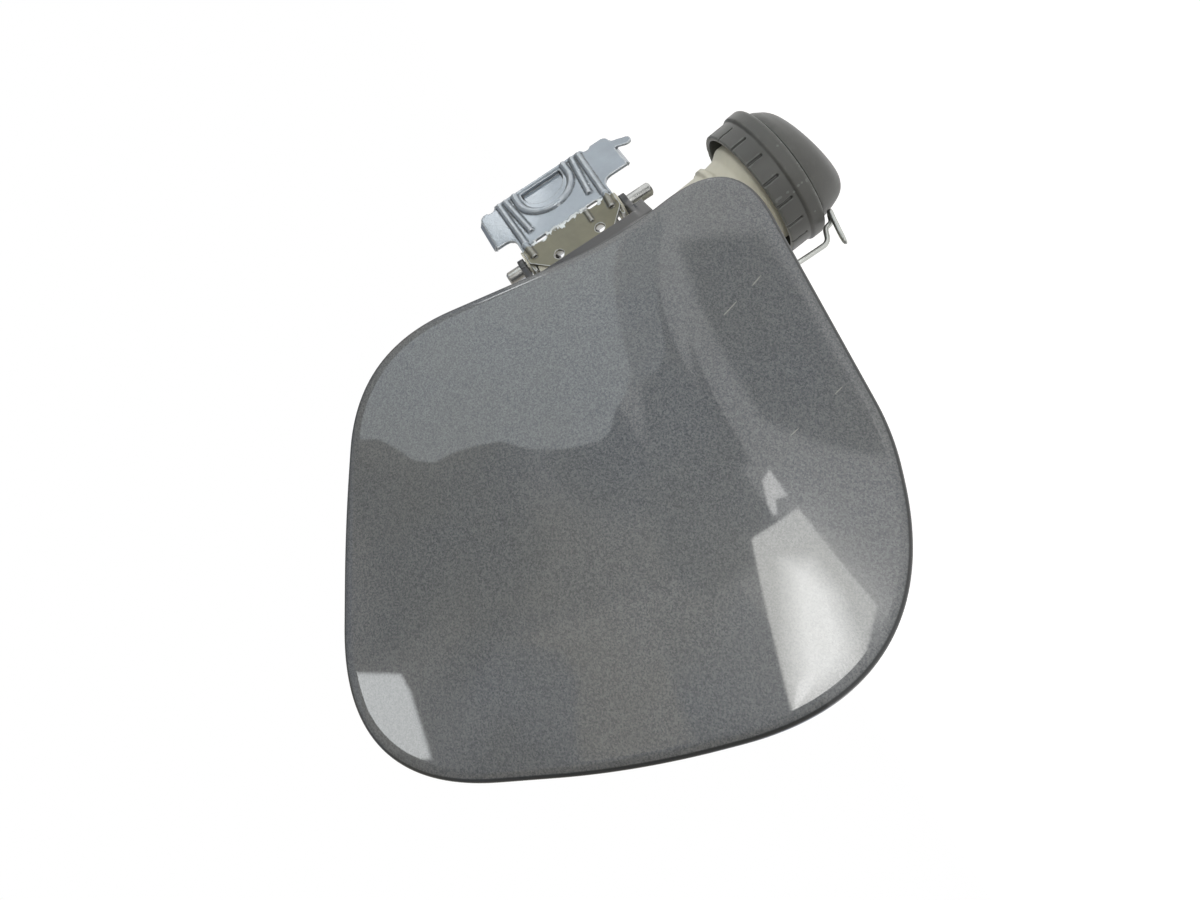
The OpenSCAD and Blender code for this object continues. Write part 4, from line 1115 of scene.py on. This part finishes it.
class FUELDOOR_OT_cap_inside(Operator):
    """Finish the core, seal, ratchet and valve inside the cap"""

    bl_idname = "fuel_door.cap_inside"
    bl_label = "Cap Inside"

    def execute(self, context):
        colours = context.scene.fuel_door_finishes
        core = eased(copy_of("cap_core", "moulded"), width=0.3 * MM)
        hand_over(core, "cap_core", cap_plastic(colours, "Core plastic", 0.5))
        dress("cap_seal", rubber())
        dress("ratchet_ring", nylon(colours))
        dress("valve_guide", nylon(colours))
        steel = metal("Valve spring steel", (0.34, 0.34, 0.35), rough=0.3, scratched=0.2)
        hand_over(rounded(copy_of("valve_spring", "wound")), "valve_spring", steel)
        dress("valve_plate", metal("Valve brass", (0.60, 0.42, 0.16), rough=0.3, scratched=0.5))
        return {"FINISHED"}


class FUELDOOR_OT_studio(Operator):
    """Set up the pale floor, the cards that light the part, the room and the camera"""

    bl_idname = "fuel_door.studio"
    bl_label = "Studio"

    def card(self, name, corners, strength, colour, soft, diffuse=True):
        """A card of light through the corners, faded at its border, which the camera doesn't see."""
        piece = circle_through(name, corners, "NGON")
        edit_all(piece, inset={"thickness": soft})
        shown = piece.data.attributes.new("Shown", "FLOAT", "POINT")
        for i, vertex in enumerate(shown.data):
            vertex.value = 0.0 if i < len(corners) else 1.0
        material = bpy.data.materials.new(name)
        material.use_nodes = True
        nodes = material.node_tree.nodes
        nodes.remove(nodes["Principled BSDF"])
        glow = Shading(material.node_tree)
        share = glow.put("ShaderNodeAttribute", attribute_name="Shown").outputs["Fac"]
        light = glow.put("ShaderNodeEmission", {"Color": rgba(colour), "Strength": strength}).outputs[0]
        clear = glow.put("ShaderNodeBsdfTransparent").outputs[0]
        mixed = glow.put("ShaderNodeMixShader", {0: share, 1: clear, 2: light}).outputs[0]
        glow.tree.links.new(mixed, nodes["Material Output"].inputs["Surface"])
        piece.data.materials.append(material)
        piece.visible_camera = False
        piece.visible_shadow = False
        piece.visible_diffuse = diffuse

    def hang_cards(self, scene):
        """The cards that show in the paint, the bracket's key card and the cap's card."""
        shape, level = scene.fuel_door_flap, scene.fuel_door_studio
        height = dome(outline(shape))
        for name, patch, distance, strength, colour, soft in (
                ("window_card", WINDOW_PATCH, 1.10, level.window, (1.0, 1.0, 0.96), 0.006),
                ("window_core_card", WINDOW_CORE_PATCH, 1.05, level.window_core, (1.0, 1.0, 0.98), 0.06),
                ("window_top_card", WINDOW_TOP_PATCH, 1.12, level.window_top, (1.0, 1.0, 0.98), 0.006),
                ("side_card", SIDE_PATCH, 1.10, level.side_window, (0.97, 1.0, 1.0), 0.008),
                ("ceiling_card", CEILING_PATCH, 1.40, level.ceiling, (0.93, 1.0, 1.02), 0.006),
                ("ceiling_end_card", CEILING_END_PATCH, 1.42, level.ceiling_end, (0.93, 0.99, 1.02), 0.006),
                ("opening_card", OPENING_PATCH, 1.42, level.opening, (0.96, 1.0, 1.0), 0.02),
                ("wall_card", WALL_PATCH, 1.30, level.wall, (0.96, 1.0, 1.0), 0.008),
                ("warm_card", WARM_PATCH, 1.30, level.warm_wall, (1.06, 1.0, 0.88), 0.02),
                ("shade_side_card", SHADE_SIDE_PATCH, 0.2, level.shade, (0.96, 1.0, 1.0), 0.008),
                ("shade_card", SHADE_PATCH, 1.5, level.shade, (0.96, 1.0, 1.0), 0.04),
                ("dark_top_card", DARK_TOP_PATCH, 1.22, level.dark, (1.0, 1.0, 1.0), 0.03),
                ("dark_card", DARK_PATCH, 1.25, level.dark, (1.0, 1.0, 1.0), 0.03),
                ("dark_low_card", DARK_LOW_PATCH, 1.27, level.dark, (1.0, 1.0, 1.0), 0.03)):
            corners = [beyond_mirror(*place_on_flap(shape, height, pixel), distance) for pixel in patch]
            # A near card would also shade the flap, so only the paint's reflections see it
            self.card(name, corners, strength, colour, soft, diffuse=distance > 1.0)

        tilt = scene.fuel_door_bracket.tilt
        normal = Vector((math.sin(tilt), -math.cos(tilt), 0))
        corners = [seen_in_plate("hinge_bracket", normal, pixel, distance=0.7) for pixel in KEY_PATCH]
        self.card("key_card", corners, level.key, (0.96, 0.99, 1.0), 0.02)

        half_width, half_height, distance = 0.11, 0.16, 0.55
        across, up = half_width * Vector((0.52, 0, 0.85)), half_height * Vector((0.30, 0.94, -0.18))
        middle = Vector(scene.fuel_door_cap.rim) + distance * Vector((0.82, -0.28, -0.50))
        corners = [middle + a * across + b * up for a, b in ((-1, -1), (1, -1), (1, 1), (-1, 1))]
        self.card("cap_card", corners, level.cap_key, (0.97, 1.0, 1.0), 0.05)

    def lay_floor(self, drop):
        """A wide pale floor below the part, which glows a little where it is seen or mirrored."""
        bpy.ops.object.select_all(action="DESELECT")
        bpy.ops.mesh.primitive_plane_add(size=14.0, location=(0, 0, CAD_BOX[0].z - drop))
        floor = bpy.context.object
        floor.name = "floor"
        pale = Finish("Pale floor", Roughness=0.7, Specular_IOR_Level=0.2,
                      Emission_Color=(1.0, 1.0, 1.0, 1.0))
        grain = pale.use("grain", Scale=300.0, Cloud_scale=3.0)
        pale.feed("Base Color", pale.blend(grain["Tone"], (0.80, 0.80, 0.80, 1.0), (0.84, 0.84, 0.84, 1.0)))
        path = pale.put("ShaderNodeLightPath").outputs
        mirrored = pale.larger(path["Is Glossy Ray"], path["Is Transmission Ray"])
        glow = 0.75
        pale.feed("Emission Strength", pale.times(pale.larger(path["Is Camera Ray"], mirrored), glow))
        floor.data.materials.append(pale.material)

    def light_room(self, scene):
        """A cloudy room with a brighter backdrop, which the camera sees as plain white."""
        world = bpy.data.worlds.new("Studio room")
        scene.world = world
        world.use_nodes = True
        world.node_tree.nodes.clear()
        air = Shading(world.node_tree)
        direction = air.put("ShaderNodeTexCoord").outputs["Generated"]
        backdrop_level = 0.9
        backdrop = air.step(air.axes(direction)["Y"], low=0.62, high=0.9)
        things = air.noise(direction, 3.2, 1.5, Distortion=0.6)
        dim = air.step(things, 0.42, 0.56, out_low=0.55, out_high=1.25)
        tint = air.blend(air.step(air.noise(direction, 2.1, 0.5), 0.42, 0.58), (0.92, 0.97, 1.08, 1.0),
                         (1.06, 1.0, 0.88, 1.0))
        around = air.times(air.times(dim, scene.fuel_door_studio.room), air.minus(1.0, backdrop))
        strength = air.plus(around, air.times(backdrop, backdrop_level))
        room = air.put("ShaderNodeBackground", {"Color": tint, "Strength": strength}).outputs[0]
        white = air.put("ShaderNodeBackground", {"Color": (1.0, 1.0, 1.0, 1.0), "Strength": 1.0}).outputs[0]
        seen = air.put("ShaderNodeLightPath").outputs["Is Camera Ray"]
        mixed = air.put("ShaderNodeMixShader", {0: seen, 1: room, 2: white}).outputs[0]
        air.put("ShaderNodeOutputWorld", {"Surface": mixed})

    def place_camera(self, scene):
        """The camera that was fitted to the photograph."""
        lens = bpy.data.cameras.new("Camera")
        lens.sensor_width = 36.0
        lens.lens = 27.0
        lens.clip_start = 0.01
        camera = bpy.data.objects.new("Camera", lens)
        scene.collection.objects.link(camera)
        turn = Matrix((CAMERA_RIGHT, CAMERA_UP, -CAMERA_FORWARD)).transposed()
        camera.matrix_world = Matrix.Translation(CAMERA_PLACE) @ turn.to_4x4()
        scene.camera = camera

    def execute(self, context):
        scene = context.scene
        self.hang_cards(scene)
        self.lay_floor(scene.fuel_door_studio.floor_drop)
        self.light_room(scene)
        self.place_camera(scene)
        scene.view_settings.view_transform = "Standard"
        return {"FINISHED"}


class FUELDOOR_PT_finish(Panel):
    """The pieces of the fuel door in the order they are finished"""

    bl_label = "Fuel Door"
    bl_space_type = "VIEW_3D"
    bl_region_type = "UI"
    bl_category = "Fuel Door"

    def draw(self, _context):
        for operator in OPERATORS:
            self.layout.operator(operator.bl_idname)


SETTINGS = {"fuel_door_flap": FlapShape, "fuel_door_bracket": BracketShape, "fuel_door_cap": CapShape,
            "fuel_door_finishes": Finishes, "fuel_door_studio": StudioLevels}
OPERATORS = (
    FUELDOOR_OT_studio,
    FUELDOOR_OT_flap_skin,
    FUELDOOR_OT_inner_panel,
    FUELDOOR_OT_hinge_bracket,
    FUELDOOR_OT_hinge_parts,
    FUELDOOR_OT_latch_parts,
    FUELDOOR_OT_cap_holder,
    FUELDOOR_OT_catch_wire,
    FUELDOOR_OT_cap_skirt,
    FUELDOOR_OT_cap_grip,
    FUELDOOR_OT_cap_inside,
)


def register():
    """Registers the settings, the operators and the panel."""
    for name, group in SETTINGS.items():
        bpy.utils.register_class(group)
        setattr(bpy.types.Scene, name, PointerProperty(type=group))
    for kind in (*OPERATORS, FUELDOOR_PT_finish):
        bpy.utils.register_class(kind)


def unregister():
    """Takes back what register added."""
    for kind in (*OPERATORS, FUELDOOR_PT_finish):
        bpy.utils.unregister_class(kind)
    for name, group in SETTINGS.items():
        delattr(bpy.types.Scene, name)
        bpy.utils.unregister_class(group)


def main():
    """Runs every operator in order."""
    register()
    for operator in OPERATORS:
        group, name = operator.bl_idname.split(".")
        getattr(getattr(bpy.ops, group), name)()


if __name__ == "__main__":
    main()
